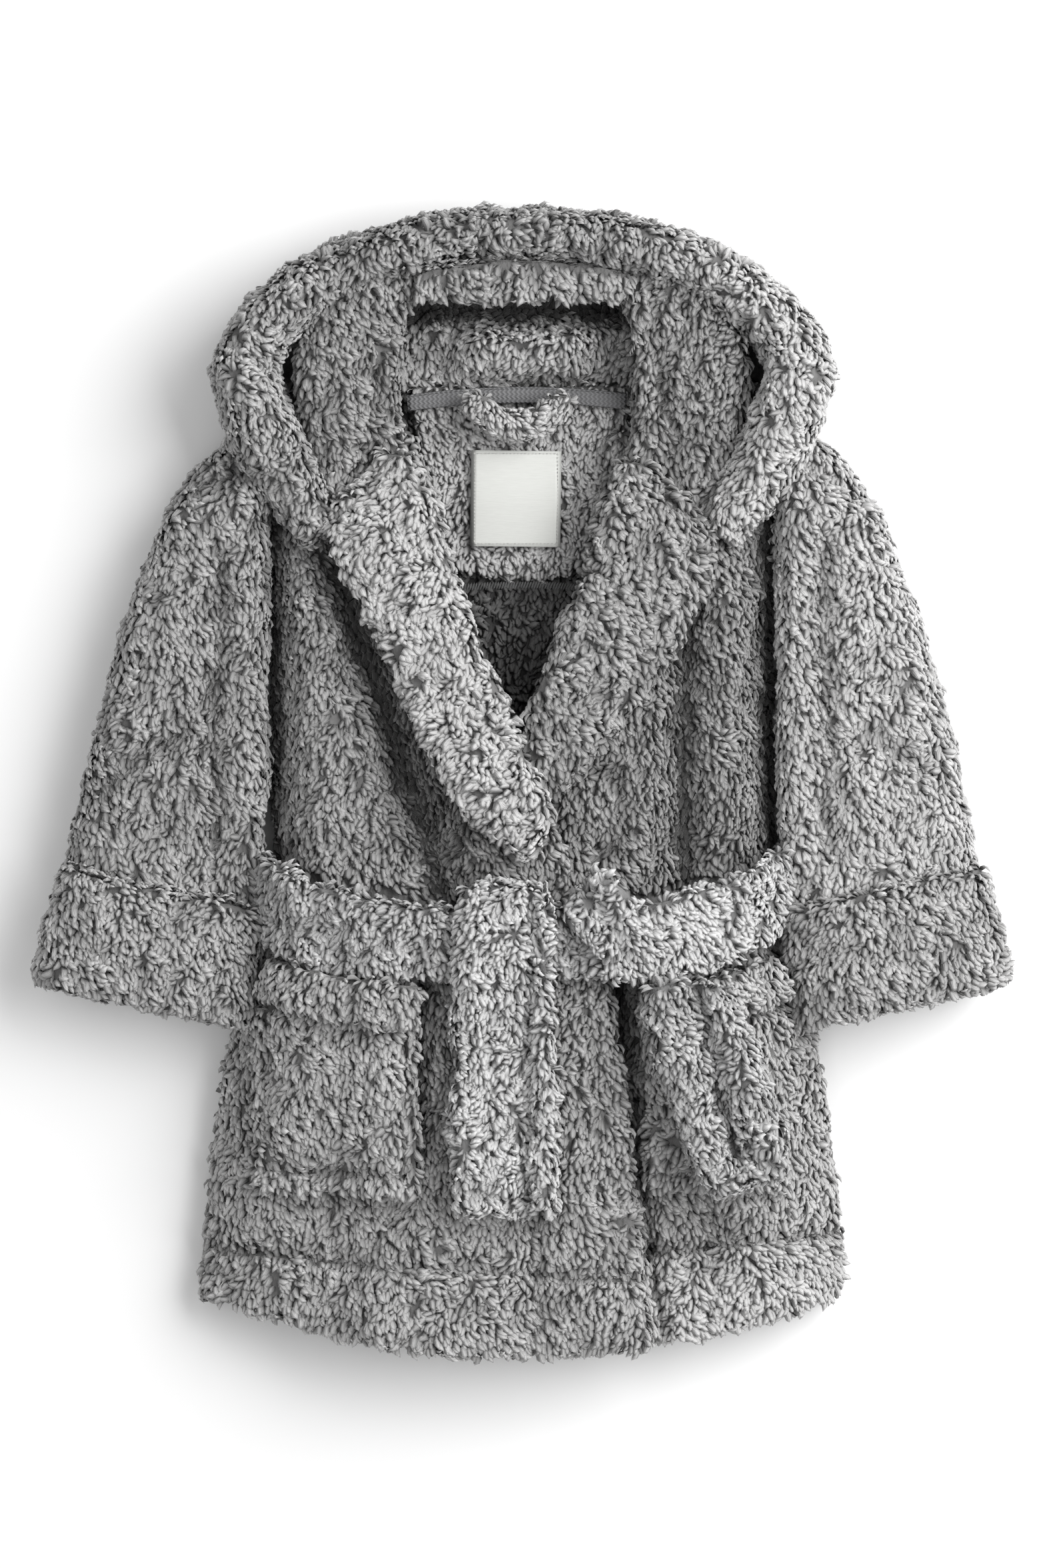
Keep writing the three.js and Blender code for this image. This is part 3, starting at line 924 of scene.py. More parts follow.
class StitchTree(Tree):
    """Geometry Nodes that lay short stitches along a line."""

    INPUTS = (("Pitch", "NodeSocketFloat"), ("Length", "NodeSocketFloat"),
              ("Radius", "NodeSocketFloat"), ("Turn", "NodeSocketFloat"),
              ("Material", "NodeSocketMaterial"))

    def __init__(self) -> None:
        """Builds the tree: a line goes in and a row of small rounded stitches comes out."""
        super().__init__(bpy.data.node_groups.new("Stitches", "GeometryNodeTree"))
        ports = self.tree.interface
        ports.new_socket(name="Line", in_out="INPUT", socket_type="NodeSocketGeometry")
        self.keys = {name: ports.new_socket(name=name, in_out="INPUT", socket_type=kind).identifier
                     for name, kind in self.INPUTS}
        ports.new_socket(name="Seam", in_out="OUTPUT", socket_type="NodeSocketGeometry")
        given = {w.socket.name: w for w in self.node("NodeGroupInput")}
        line = self.node("GeometryNodeMeshToCurve", {}, {"Mesh": given["Line"]})[0]
        line = self.node("GeometryNodeResampleCurve", {"mode": "LENGTH"},
                         {"Curve": line, "Length": given["Pitch"]})[0]
        bead = self.node("GeometryNodeMeshUVSphere", {},
                         {"Segments": 6, "Rings": 5, "Radius": given["Radius"]})[0]
        stretch = self.node("ShaderNodeCombineXYZ", {}, {0: given["Length"], 1: 1.0, 2: 0.7})[0]
        bead = self.node("GeometryNodeTransform", {}, {"Geometry": bead, "Scale": stretch})[0]
        tangent = self.node("GeometryNodeInputTangent")[0]
        way = self.node("FunctionNodeAlignRotationToVector", {"axis": "X"}, {"Vector": tangent})[0]
        turn = self.node("FunctionNodeAxisAngleToRotation", {},
                         {"Axis": (0, 0, 1), "Angle": given["Turn"]})[0]
        way = self.node("FunctionNodeRotateRotation", {"rotation_space": "LOCAL"},
                        {"Rotation": way, "Rotate By": turn})[0]
        sewn = self.node("GeometryNodeInstanceOnPoints", {},
                         {"Points": line, "Instance": bead, "Rotation": way})[0]
        real = self.node("GeometryNodeRealizeInstances", {}, {"Geometry": sewn})[0]
        done = self.node("GeometryNodeSetMaterial", {},
                         {"Geometry": real, "Material": given["Material"]})[0]
        self.node("NodeGroupOutput", {}, {"Seam": done})


@dataclass
class Seams:
    """Rows of stitches in sewing thread."""

    tree: StitchTree = field(default_factory=StitchTree)

    def sew(self, name: str, path: Sequence[Point], pitch: float, length: float,
            radius: float, turn: float = 0.0, thread: Fleece = THREAD) -> bpy.types.Object:
        """Sews a row of stitches along a path.

        Args:
            name: the row's name.
            path: its points, in millimetres.
            pitch: from one stitch to the next.
            length: a stitch's length over its width.
            radius: half a stitch's width.
            turn: the stitches' slant from the path.
            thread: the thread's finish.

        Returns:
            The row, made real.
        """
        mesh = bpy.data.meshes.new(name)
        mesh.from_pydata([tuple(place(*p)) for p in path],
                         [(i, i + 1) for i in range(len(path) - 1)], [])
        row = add_object(name, mesh)
        modifier = row.modifiers.new("stitches", "NODES")
        modifier.node_group = self.tree.tree
        values = {"Pitch": pitch * MM, "Length": length, "Radius": radius * MM, "Turn": turn,
                  "Material": WARDROBE.get(thread.name, thread.ground)}
        for key, value in values.items():
            modifier[self.tree.keys[key]] = value
        return settled(row)


SEAMS = Seams()


@dataclass
class Garment:
    """One cloth piece: its skin, its coat and how it joins the frame.

    Attributes:
        skin: its mesh, without its pile.
        body: the body that it rides on.
        nodes: the CAD nodes that it stands for.
        slot: the material slot of both; not used.
        coat: its pile.
        across: a body and two heights, or None; a piece that has them is baked in place, not tied
            to a body.
        flat: the size it was cut to where it is a sheet, or None where it is padded; not used.
        area: the sheet's flat area where it isn't a rectangle; not used.
        rests_on: what the sheet lies on; not used.
        fill: how full a padded piece is; not used.
    """

    skin: bpy.types.Object
    body: Body
    nodes: tuple[str, ...]
    slot: str
    coat: Coat = field(default_factory=Coat)
    across: tuple[Body, float, float] | None = None
    flat: tuple[float, float] | None = None
    area: float | None = None
    rests_on: tuple[str, ...] = ()
    fill: float = 0.35

    def finish(self) -> None:
        """Dresses the skin, grows the coat and ties both to the piece's body, or bakes both in
        place where across is set.
        """
        mesh = self.skin.data
        mesh.materials.clear()
        finish = self.coat.finish
        mesh.materials.append(WARDROBE.get(finish.name + "_ground", finish.ground))
        pile = COATS.grow(self.skin, self.coat)
        for piece in (self.skin, *pile):
            if self.across:
                other, start, end = self.across
                place(0, start, 0)
                place(0, end, 0)
                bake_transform(piece)
            else:
                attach(piece, self.body.value)
        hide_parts(*self.nodes)
        count = sum(len(p.data.polygons) for p in pile)
        log.info("%s: %d skin faces, %d lock faces", self.skin.name, len(mesh.polygons), count)


# ---- The robe's own measures ----

PANEL = 9.0  # a front with its pile
FRONT_BASE = 9.6  # the underside of the fronts at the side seams
FRONT_RISE = 25.0  # how much higher it lies over the chest
OVERLAP = 16.2  # how much higher the over front lies where it crosses the under front
PILE_BEHIND = 0.08  # the share of pile left behind a piece that covers it
PILE_BEHIND_TAILS = 0.45


def along(table: Sequence[tuple[float, float]], at: float) -> float:
    """The value of a table at a height, read between its rows."""
    return float(np.interp(at, [row[0] for row in table], [row[1] for row in table]))


HALF_WIDTH = ((0, 168), (65, 165), (117, 160), (166, 151), (200, 142), (226, 131), (280, 131),
              (360, 130.5), (455, 133), (509, 125))
OVER_EDGE = ((0, 68), (82, 59), (137, 54), (201, 44.5), (266, 23), (301, 9.5), (342, -7),
             (372, -21), (400, -32), (449, -45.5), (488, -56))
UNDER_EDGE = ((0, -66), (60, -60), (137, -55), (200, -45), (240, -30), (285, -14), (324, 0),
              (350, 5), (380, 17.5), (408, 30), (449, 41), (488, 43))
SHOULDER_FALL = ((380, 1), (430, 0.7), (460, 0.4), (509, 0.15))
OVER_LAPEL = ((262, -14), (280, -30), (301, -40), (342, -58), (364, -68), (397, -86), (432, -104),
              (468, -82))
UNDER_LAPEL = ((285, 12), (300, 29), (320, 45), (340, 58), (362, 74), (380, 83), (397, 94),
               (432, 98), (466, 74))


def front_low(x: float, y: float) -> float:
    """The height of the fronts' underside."""
    across = min(1.0, abs(x) / along(HALF_WIDTH, y))
    return FRONT_BASE + FRONT_RISE * (1 - across**6) * along(SHOULDER_FALL, y)


def front_top(x: float, y: float) -> float:
    """The height of the fronts' upper face.

    Args:
        x: across, from the centre line.
        y: up, from the hem.

    Returns:
        The height.
    """
    rise = smooth(x, along(UNDER_EDGE, y) - 46, along(UNDER_EDGE, y) - 4)
    over = OVERLAP * rise if x < along(OVER_EDGE, y) else 0.0
    return front_low(x, y) + PANEL + over


def back_edge(x: float, y: float) -> float:
    """1 along the back's hem and side seams, whose outer face shows, and 0 inside them.

    Args:
        x: across, from the centre line.
        y: up, from the hem.

    Returns:
        The share.
    """
    seam = along(HALF_WIDTH, y)
    side = smooth(abs(x), seam - 14, seam - 4) * (1 - smooth(y, 420, 450))
    return max(1 - smooth(y, 8, 20), side)


def open_share(x: float, y: float) -> float:
    """The share of the fronts' pile that grows at a point: little of it under other pieces.

    Args:
        x: across, from the centre line.
        y: up, from the hem.

    Returns:
        The share.
    """
    out = abs(x)
    pocket = 68 < out < 130 and 106 < y < 194
    belt = 222 - 0.06 * out < y - 0.18 * max(0.0, out - 10) < 240
    collar = y > 447 and 62 < out < 98
    over = 275 < y < 450 and along(OVER_LAPEL, y) + 13 < x < along(OVER_EDGE, y) - 9
    under = 300 < y < 450 and along(UNDER_EDGE, y) + 9 < x < along(UNDER_LAPEL, y) - 13
    tails = (-28 < x < 8 and 92 < y < 200) or (76 < x < 104 and 118 < y < 196)
    if pocket or belt or collar or over or under:
        return PILE_BEHIND
    return PILE_BEHIND_TAILS if tails else 1.0


@dataclass
class BodyPanels:
    """The back and the two fronts."""

    voxel: float = 3.6
    back_voxel: float = 4.2
    back_flat: tuple[float, float] = (0.345, 0.54)
    over_flat: tuple[float, float] = (0.26, 0.53)
    under_flat: tuple[float, float] = (0.25, 0.53)
    front_area: float = 0.09

    def _under_cover(self, x: float, y: float, _z: float) -> float:
        """The share of the under front's pile: its hem, and what the over front leaves open.

        Args:
            x: across, from the centre line.
            y: up, from the hem.

        Returns:
            The share.
        """
        edge = along(OVER_EDGE, y)
        return max(1.0 if y < 16 else 0.0, open_share(x, y) * smooth(x, edge - 22, edge - 8))

    def build(self) -> list[Garment]:
        """The back, under and over fronts, each with its hem.

        Returns:
            The three pieces.
        """
        back = soften(copy_nodes("back", ("back_panel", "hem_fold_back")), self.back_voxel, 3)
        # painted shade and light: the back's inside takes the darker inner fleece as painted shade;
        # its table side, hem and side seams are painted lighter again
        shape(back, (), 0.8, inset=1.8, under=2.6,
              cover=lambda x, y, z: (1.0 if y > 300 and abs(x) < 62 or z < 5 or
                                     back_edge(x, y) > 0.5 else 0.12),
              tint=lambda x, y: 2.2 * back_edge(x, y))
        under = soften(copy_nodes("under_front_cloth", ("under_front", "hem_fold_under")),
                       self.voxel, 4)
        shape(under, (Fold((82, 410), (84, 250), -13, 12), Fold((108, 395), (112, 268), 5, 11),
                      Fold((129, 440), (129, 262), -7, 9),
                      Fold((61, 380), (60, 262), 4, 12), Fold((112, 200), (128, 20), 2.5, 16),
                      Fold((92, 190), (98, 20), -4, 9), Fold((50, 203), (52, 158), -13, 8),
                      Fold((30, 57), (168, 66), -6.0, 4), Fold((58, 140), (73, -5), -8, 4.5)),
              cover=self._under_cover,
              # painted light and shade: lighter at the hem and on the right above it, darker up the
              # chest
              tint=lambda x, y: (1.4 - 1.5 * smooth(y, 30, 75) - 0.7 * smooth(y, 240, 275) +
                                 0.7 * smooth(x, 105, 150) * smooth(y, 30, 75) *
                                 (1 - smooth(y, 200, 240))))
        over_nodes = ("over_front", "hem_fold_over", "over_front_facing")
        over = soften(copy_nodes("over_front_cloth", over_nodes), self.voxel, 4)
        # painted shadow beside the over lapel
        lapel_shadow = Fold((-88, 405), (-22, 258), -1.0, 30.0)
        shape(over, (Fold((-99, 425), (-40, 240), -14, 14), Fold((-112, 400), (-104, 262), 5, 13),
                     Fold((-129, 440), (-129, 262), -7, 9),
                     Fold((-52, 198), (-54, 112), -11, 6), Fold((-55, 104), (-74, 66), -4, 5),
                     Fold((-44, 190), (-46, 40), 3, 8),
                     Fold((22, 190), (34, 20), 2.5, 14), Fold((2, 190), (8, 20), -4, 8),
                     Fold((-70, 270), (-10, 262), 3, 12), Fold((-168, 57), (70, 47), -6.0, 4)),
              cover=lambda x, y, _z: open_share(x, y),
              # painted light and shade: lighter low down, darker up the chest and right of the
              # centre line, with the painted shadow beside the lapel
              tint=lambda x, y: (0.35 - 0.35 * smooth(y, 240, 275) + 4.5 * lapel_shadow.shade(x, y) -
                                 0.35 * smooth(x, -20, 5) * smooth(y, 50, 90)))
        lay = {"body": Body.ROBE, "slot": "fleece"}
        return [
            # the back's inside wears the fleece painted darker, as painted shade
            Garment(back, nodes=("back_panel", "hem_fold_back"), flat=self.back_flat, area=0.165,
                    coat=Coat(SHADED_FLEECE, 0.14, 0.9, below=0.2), **lay),
            Garment(under, nodes=("under_front", "hem_fold_under"), flat=self.under_flat,
                    area=self.front_area, rests_on=("back",), coat=Coat(below=0.02), **lay),
            Garment(over, nodes=over_nodes, flat=self.over_flat, area=self.front_area,
                    rests_on=("under_front_cloth",), coat=Coat(below=0.02), **lay),
        ]


@dataclass
class Lapels:
    """The turned-back front edges, from the waist up to the collar seam."""

    roll: float = 9.5
    steps: int = 25

    def _slices(self, outer: Sequence[tuple[float, float]], inner: Sequence[tuple[float, float]],
                low: float, high: float) -> list[Slice]:
        """Sections across one lapel from its foot to its top.

        Args:
            outer: the lapel's outer edge.
            inner: the front's edge.
            low: the height of its foot.
            high: the height of its top.

        Returns:
            The sections.
        """
        found = []
        for i in range(self.steps + 1):
            share = i / self.steps
            y = low + (high - low) * share
            x1, x2 = along(outer, y), along(inner, y)
            end = min(1.0, 0.35 + 5 * share, 0.5 + 4 * (1 - share))
            half = abs(x2 - x1) / 2 + 2
            middle = (x1 + x2) / 2
            height = self.roll * (0.55 + 0.45 * end)
            top = max(front_top(x, y) for x in (x1, middle, x2)) if low < 280 else front_top(x1, y)
            found.append(Slice(middle, y, top + height - 3.0, max(3.0, half * end), height))
        return found

    def build(self) -> list[Garment]:
        """Both lapels.

        Returns:
            The two pieces.
        """
        made = []
        for name, outer, inner, low, high, flat in (
                ("over_lapel_roll", OVER_LAPEL, OVER_EDGE, 262.0, 474.0, (0.056, 0.2)),
                ("under_lapel_roll", UNDER_LAPEL, UNDER_EDGE, 288.0, 470.0, (0.056, 0.2))):
            skin = soften(loft(name, self._slices(outer, inner, low, high), 30, 2.3), 2.6, 4)
            side = -1 if name.startswith("over") else 1
            # painted light and shade: the over lapel is painted lighter and the under lapel darker
            shape(skin, (Fold((-106, 432), (-64, 468), -5, 4), Fold((58, 463), (98, 432), -5, 4)),
                  2.2, 17.0, inset=4.0, rise=5.0, tint=lambda x, y, s=side: 0.375 - 0.725 * s)
            made.append(Garment(skin, Body.ROBE, (name[:-5],), "fleece", fill=0.3,
                                coat=Coat(comb=(0.35 * side, -1.0, 0.0), density=0.24, swirl=0.95,
                                          length=1.08, lift=0.35)))
        return made


@dataclass
class Hood:
    """The hood: a thick outer rim, the opened crown inside it and the collars that run down."""

    span: float = 143.0
    reach: float = 75.5
    base: float = 509.0
    turns: int = 44
    tuck: float = 1.03

    def _rim(self) -> bpy.types.Object:
        """The rolled rim, one roll from the left front to the right front.

        Returns:
            The roll.
        """
        ends = ((100.0, 428.0, 26.0, 13.0, 16.0, -0.5), (113.0, 446.0, 27.0, 18.0, 20.0, -0.45),
                (131.0, 476.0, 33.0, 20.0, 26.0, -0.3))
        slices = [Slice(-x, y, z, half, high, math.pi - turn)
                  for x, y, z, half, high, turn in ends]
        for i in range(self.turns + 1):
            turn = math.pi - math.pi * i / self.turns
            top = math.sin(turn)
            x, y = self.span * math.cos(turn), self.base + self.reach * top
            half_width = 19.5 - 4.0 * top
            half_height = 31.0 - 4.0 * top
            slices.append(Slice(x, y, 6.5 + half_height, half_width, half_height, turn))
        slices += [Slice(*end) for end in reversed(ends)]
        return loft("hood_rim_roll", slices, 26, 2.2)

    def _side(self, side: int) -> bpy.types.Object:
        """The collar and hood side on one side, one puffy strip that lies inside the rim.

        Args:
            side: -1 for the left and 1 for the right.

        Returns:
            The strip.
        """
        rows = ((440, 50, 101, 27), (452, 51, 110, 30), (468, 53, 117, 34), (486, 55, 121, 38),
                (503, 56, 123, 41), (520, 56, 122, 44), (536, 54, 117, 45), (552, 48, 107, 44),
                (566, 38, 92, 41), (575, 20, 74, 38))
        slices = []
        for y, inner, outer, high in rows:
            inner += 8 * smooth(y, 455, 485) if side < 0 else 1.0
            outer -= 3.0
            half = (outer - inner) / 2
            slices.append(Slice(side * (inner + half), y, high - 4.0, half + 1.0, 13.0,
                                side * 0.35 * smooth(y, 540, 575)))
        name = "left_hood_wing" if side < 0 else "right_hood_wing"
        return loft(name, slices, 24, 2.4)

    def _out(self, x: float, y: float) -> float:
        """How far out a plan point lies: 1 along the middle of the rim."""
        return math.hypot(x / self.span, max(0.0, y - self.base) / self.reach)

    def _draw_in(self, skin: bpy.types.Object) -> None:
        """Draws the hood's back in, so that it ends under the rim.

        Args:
            skin: the hood's back.
        """
        for vertex in skin.data.vertices:
            x, y = vertex.co.x / MM, (vertex.co.y - HEM_Y) / MM
            share = min(1.0, self.tuck / max(self.tuck, self._out(x, y)))
            vertex.co.x *= share
            if y > self.base:
                vertex.co.y = HEM_Y + (self.base + (y - self.base) * share) * MM

    def build(self) -> list[Garment]:
        """The rim, both wings, the crown and the inside of the back.

        Returns:
            The five pieces.
        """
        rim = soften(self._rim(), 2.8, 4)
        # painted light and shade: the rim is painted lighter towards the right and darker along its
        # upper arc
        shape(rim, (), 2.4, 20.0, inset=4.6, rise=3.0,
              tint=lambda x, y: 0.1 + 1.2 * smooth(x, 40, 120) - 0.5 * smooth(y, 540, 585))
        across = (Body.HOOD, 490.0, 540.0)
        made = [Garment(rim, Body.ROBE, ("hood_rim", "left_rim_end", "right_rim_end"), "fleece",
                        across=across, fill=0.35,
                        coat=Coat(comb=(0.0, -1.0, 0.0), density=0.225, swirl=0.9, lift=0.35))]
        for side, label in ((-1, "left"), (1, "right")):
            wing = soften(self._side(side), 2.8, 4)
            # painted shade: the wings are painted darker above the collar
            shape(wing, (Fold((side * 70, 530), (side * 80, 450), -4, 8),), 2.4, 18.0, inset=4.0,
                  tint=lambda x, y: -0.55 * smooth(y, 450, 490))
            nodes = (f"{label}_collar", f"{label}_hood_side")
            made.append(Garment(wing, Body.ROBE, nodes, "fleece", across=across, fill=0.3,
                                coat=Coat(comb=(-0.3 * side, -1.0, 0.0), lift=0.3)))
        crown = soften(copy_nodes("hood_crown", ("hood_gusset",)), 2.6, 3)
        # painted shade: the crown is painted a little darker
        shape(crown, (), 1.6, 16.0, inset=3.0, rise=4.0, tint=lambda x, y: -0.2)
        made.append(Garment(crown, Body.HOOD, ("hood_gusset",), "fleece", fill=0.3))
        back = soften(copy_nodes("hood_inside", ("hood_back",)), 3.0, 4)
        self._draw_in(back)
        # painted shade: inside the rim past y 538 the pile is painted nearly black where the hood's
        # hollow lies in shadow; the table side is painted lighter
        shape(back, (Fold((-70, 551), (70, 551), -7, 8), Fold((-44, 536), (36, 536), 5, 9)),
              2.0, 16.0, inset=1.0,
              cover=lambda x, y, z: 1.0 if y < 560 and abs(x) < 70 or z < 5 else 0.02,
              tint=lambda x, y: (0.5 - 3.4 * smooth(y, 538, 546) *
                                 (1 - smooth(self._out(x, y), 0.93, 1.0))), under=3.0)
        made.append(Garment(back, Body.HOOD, ("hood_back",), "fleece", fill=0.3,
                            coat=Coat(below=0.3)))
        return made


@dataclass
class Sleeves:
    """The sleeves, each from its head at the shoulder to its turned-back cuff."""

    reach: tuple[tuple[float, float], ...] = ((183, 256), (245, 242), (292, 233), (334, 224),
                                              (376, 212), (432, 192), (455, 181), (480, 158),
                                              (498, 138))
    inner: tuple[tuple[float, float], ...] = ((183, 139), (245, 133), (300, 129.5), (455, 129),
                                              (480, 127), (498, 125))
    cuff_slope: float = 0.22

    def _tube(self, side: int) -> bpy.types.Object:
        """The sleeve with its head.

        Args:
            side: -1 for the left and 1 for the right.

        Returns:
            The sleeve.
        """
        slices = []
        for y in (200, 214, 230, 250, 275, 300, 325, 350, 375, 400, 425, 445, 460, 473, 484, 492):
            x1, x2 = along(self.inner, y), along(self.reach, y)
            half = (x2 - x1) / 2
            fall = 1 - 0.3 * smooth(y, 440, 492)
            slices.append(Slice(side * (x1 + half), y, 1.0 + 23.5 * fall, half - 1.0, 23.0 * fall))
        name = "left_sleeve_cloth" if side < 0 else "right_sleeve_cloth"
        return loft(name, slices, 36, 2.6)

    def _cuff(self, side: int) -> bpy.types.Object:
        """The turned-back cuff, a thick sleeve end with an open mouth.

        Args:
            side: -1 for the left and 1 for the right.

        Returns:
            The cuff.
        """
        slices = []
        for down, grow in ((250, 0), (246, 4), (236, 6), (222, 7), (206, 7), (193, 6), (184, 2)):
            x1, x2 = along(self.inner, down), along(self.reach, down)
            half = (x2 - x1) / 2
            tilt = side * math.atan(self.cuff_slope)
            slices.append(Slice(side * (x1 + half), down, 27.0, half + grow * 0.35, 22.5 + grow,
                                tilt))
        name = "left_cuff_turnback" if side < 0 else "right_cuff_turnback"
        return loft(name, list(reversed(slices)), 40, 2.7)

    def build(self) -> list[Garment]:
        """Both sleeves and both cuffs.

        Returns:
            The four pieces.
        """
        made = []
        for side, label, body in ((-1, "left", Body.LEFT_SLEEVE), (1, "right", Body.RIGHT_SLEEVE)):
            tube = soften(self._tube(side), 3.2, 5)
            folds = [Fold((side * 200, 425), (side * 225, 270), 3.0, 22),
                     Fold((side * 155, 420), (side * 158, 270), -5, 11),
                     Fold((side * 138, 470), (side * 172, 452), -4, 9),
                     Fold((side * 175, 330), (side * 222, 300), -4, 9)]
            # painted light: the right sleeve is painted lighter than the left
            shape(tube, folds, 2.6, 26.0, inset=4.6, tint=lambda x, y, s=side: 0.35 + 0.5 * s)
            made.append(Garment(tube, Body.ROBE, (f"{label}_sleeve_head", f"{label}_sleeve"),
                                "fleece", across=(body, 488.0, 415.0), fill=0.3,
                                coat=Coat(density=0.205, length=1.04, below=0.5,
                                          comb=(0.16 * side, -1.0, -0.05))))
            cuff = soften(self._cuff(side), 3.0, 4)
            # painted light: the cuffs are painted a little lighter
            shape(cuff, (Fold((side * 150, 200), (side * 240, 222), 1.5, 14),), 2.4, 20.0,
                  inset=4.2, rise=2.0, tint=lambda x, y: 0.2)
            made.append(Garment(cuff, body, (f"{label}_cuff",), "fleece", fill=0.35,
                                coat=Coat(density=0.225, below=0.5, lift=0.32)))
        return made


@dataclass
class Pockets:
    """The patch pockets and their turned bands."""

    bands: dict[str, float] = field(default_factory=lambda: {"left": -1.0, "right": 1.0})

    def build(self) -> list[Garment]:
        """Both pockets and both bands.

        Returns:
            The four pieces.
        """
        made = []
        for label, s in self.bands.items():
            patch = soften(copy_nodes(f"{label}_pocket_patch", (f"{label}_pocket",)), 2.8, 3)
            # painted light: the pocket patch is painted lighter than the fronts
            shape(patch, [Fold((s * 139, 102), (s * 60, 102), -4, 3.5),
                          Fold((s * 60, 190), (s * 60, 100), -4, 3.5),
                          Fold((s * 131, 190), (s * 133, 104), -3, 3.5),
                          Fold((s * 139, 188), (s * 52, 186), -6, 4)], 1.6, 18.0, rise=3.0,
                  tint=lambda x, y: 0.55)
            made.append(Garment(patch, Body.ROBE, (f"{label}_pocket",), "fleece", fill=0.3,
                                coat=Coat(below=0.02)))
            band = soften(copy_nodes(f"{label}_pocket_edge", (f"{label}_pocket_band",)), 2.4, 2)
            # painted light: the pocket band is painted lighter
            shape(band, (), 1.4, 15.0, inset=1.0, rise=8.0, tint=lambda x, y: 0.5)
            made.append(Garment(band, Body.ROBE, (f"{label}_pocket_band",), "fleece", fill=0.3,
                                coat=Coat(below=0.02, density=0.25, lift=0.35)))
        return made


@dataclass
class Belt:
    """The tied belt: the band round the waist, the knot, its turn and the two tails."""

    # the belt's fleece is painted lighter than the body's, as painted light
    coat: Coat = Coat(LIT_BELT_FLEECE, 0.25, 0.95, 1.0, (0.0, -1.0, 0.0), 0.05, 0.4)
    hidden_density: float = 0.06
    loose_below: float = 0.7

    def _drop_ends(self, skin: bpy.types.Object) -> None:
        """Lowers a run where it goes round the side, more on the left.

        Args:
            skin: the run.
        """
        for vertex in skin.data.vertices:
            x = vertex.co.x / MM
            vertex.co.y -= MM * (9.0 * smooth(-x, 70, 132) + 5.0 * smooth(x, 80, 132))

    def _front_tail(self, name: str) -> bpy.types.Object:
        """The end that comes up behind the knot, turns over it and hangs in front.

        Args:
            name: the piece's name.

        Returns:
            The strip.
        """
        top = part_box("belt_turn")[1][2] / MM
        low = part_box("left_belt_tail")[1][2] / MM
        rows = ((252, -10, 17, top - 17, 6), (249, -10, 22, top - 13, 7),
                (242, -10, 24, top - 10, 8), (230, -10, 25, top - 8, 8),
                (218, -10, 25.5, top - 7.5, 8), (206, -10, 26, top - 9, 8),
                (196, -10, 26, low - 5, 8), (180, -10, 26.5, low - 6, 7.5),
                (150, -9.5, 27, low - 6, 7), (120, -9.5, 27.5, low - 6, 7),
                (98, -9, 28.5, low - 6, 7), (86, -9, 28, low - 6, 6.5), (81, -9, 25, low - 6.5, 5))
        return loft(name, [Slice(x, y, z, half, high) for y, x, half, z, high in rows], 32, 2.8)

    def _side_tail(self, name: str) -> bpy.types.Object:
        """The end that comes out under the belt and curves away to the side.

        Args:
            name: the piece's name.

        Returns:
            The strip.
        """
        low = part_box("right_belt_tail")[1][2] / MM
        rows = ((201, 81.5, 22, 5), (197, 82, 24, 7), (188, 84, 25, 8), (173, 89.5, 26, 8),
                (156, 96, 27, 8), (140, 102.5, 27, 8), (124, 108, 26.5, 8), (110, 112, 25, 8),
                (101, 115, 22, 7), (96, 117, 17, 5))
        return loft(name, [Slice(x, y, low - 6.5, half, high, 0.28 * smooth(205 - y, 5, 60))
                           for y, x, half, high in rows], 30, 2.6)

    def build(self) -> list[Garment]:
        """Every length of the belt.

        Returns:
            The six pieces.
        """
        loose = replace(self.coat, below=self.loose_below)
        hidden = replace(self.coat, density=self.hidden_density)
        made = []
        for name, node, folds in (
                ("belt_back_run", "belt_back", ()),
                ("belt_left_run", "belt_left", (Fold((-120, 242), (-30, 226), 2.0, 8),)),
                ("belt_right_run", "belt_right", (Fold((125, 250), (60, 236), 2.5, 8),)),
                ("belt_knot_wrap", "belt_knot", (Fold((30, 250), (52, 218), -4, 6),))):
            skin = soften(copy_nodes(name, (node,)), 2.4, 5)
            self._drop_ends(skin)
            # painted light: the runs are painted lighter towards the right
            shape(skin, folds, 2.2, 17.0, rise=6.0, tint=lambda x, y: 0.5 * smooth(x, 10, 60))
            made.append(Garment(skin, Body.ROBE, (node,), "belt_fleece", fill=0.35,
                                coat=hidden if node == "belt_back" else self.coat))
        for name, nodes, body, folds in (
                ("left_tail_cloth", ("belt_turn", "left_belt_tail"), Body.LEFT_TAIL,
                 (Fold((-27, 244), (-28, 86), 3.0, 7), Fold((5, 240), (3, 92), -4.5, 5),
                  Fold((13, 246), (12, 84), 5.0, 6), Fold((-17, 91), (4, 90), -4.0, 3.5))),
                ("right_tail_cloth", ("right_belt_tail",), Body.RIGHT_TAIL,
                 (Fold((70, 196), (92, 104), 3.5, 8), Fold((86, 200), (110, 110), -5.5, 5),
                  Fold((98, 200), (127, 108), 4.5, 6)))):
            strip = self._front_tail(name) if len(nodes) > 1 else self._side_tail(name)
            skin = soften(strip, 2.4, 5)
            # painted light and shade: the tails are painted lighter on the left and darker towards
            # the right
            shape(skin, folds, 2.4, 18.0, rise=4.0,
                  tint=lambda x, y: 0.5 - 0.6 * smooth(x, 20, 60))
            bend = (body, 207.0, 189.0) if len(nodes) > 1 else None
            made.append(Garment(skin, Body.ROBE if bend else body, nodes, "belt_fleece",
                                across=bend, coat=loose, fill=0.35))
        return made


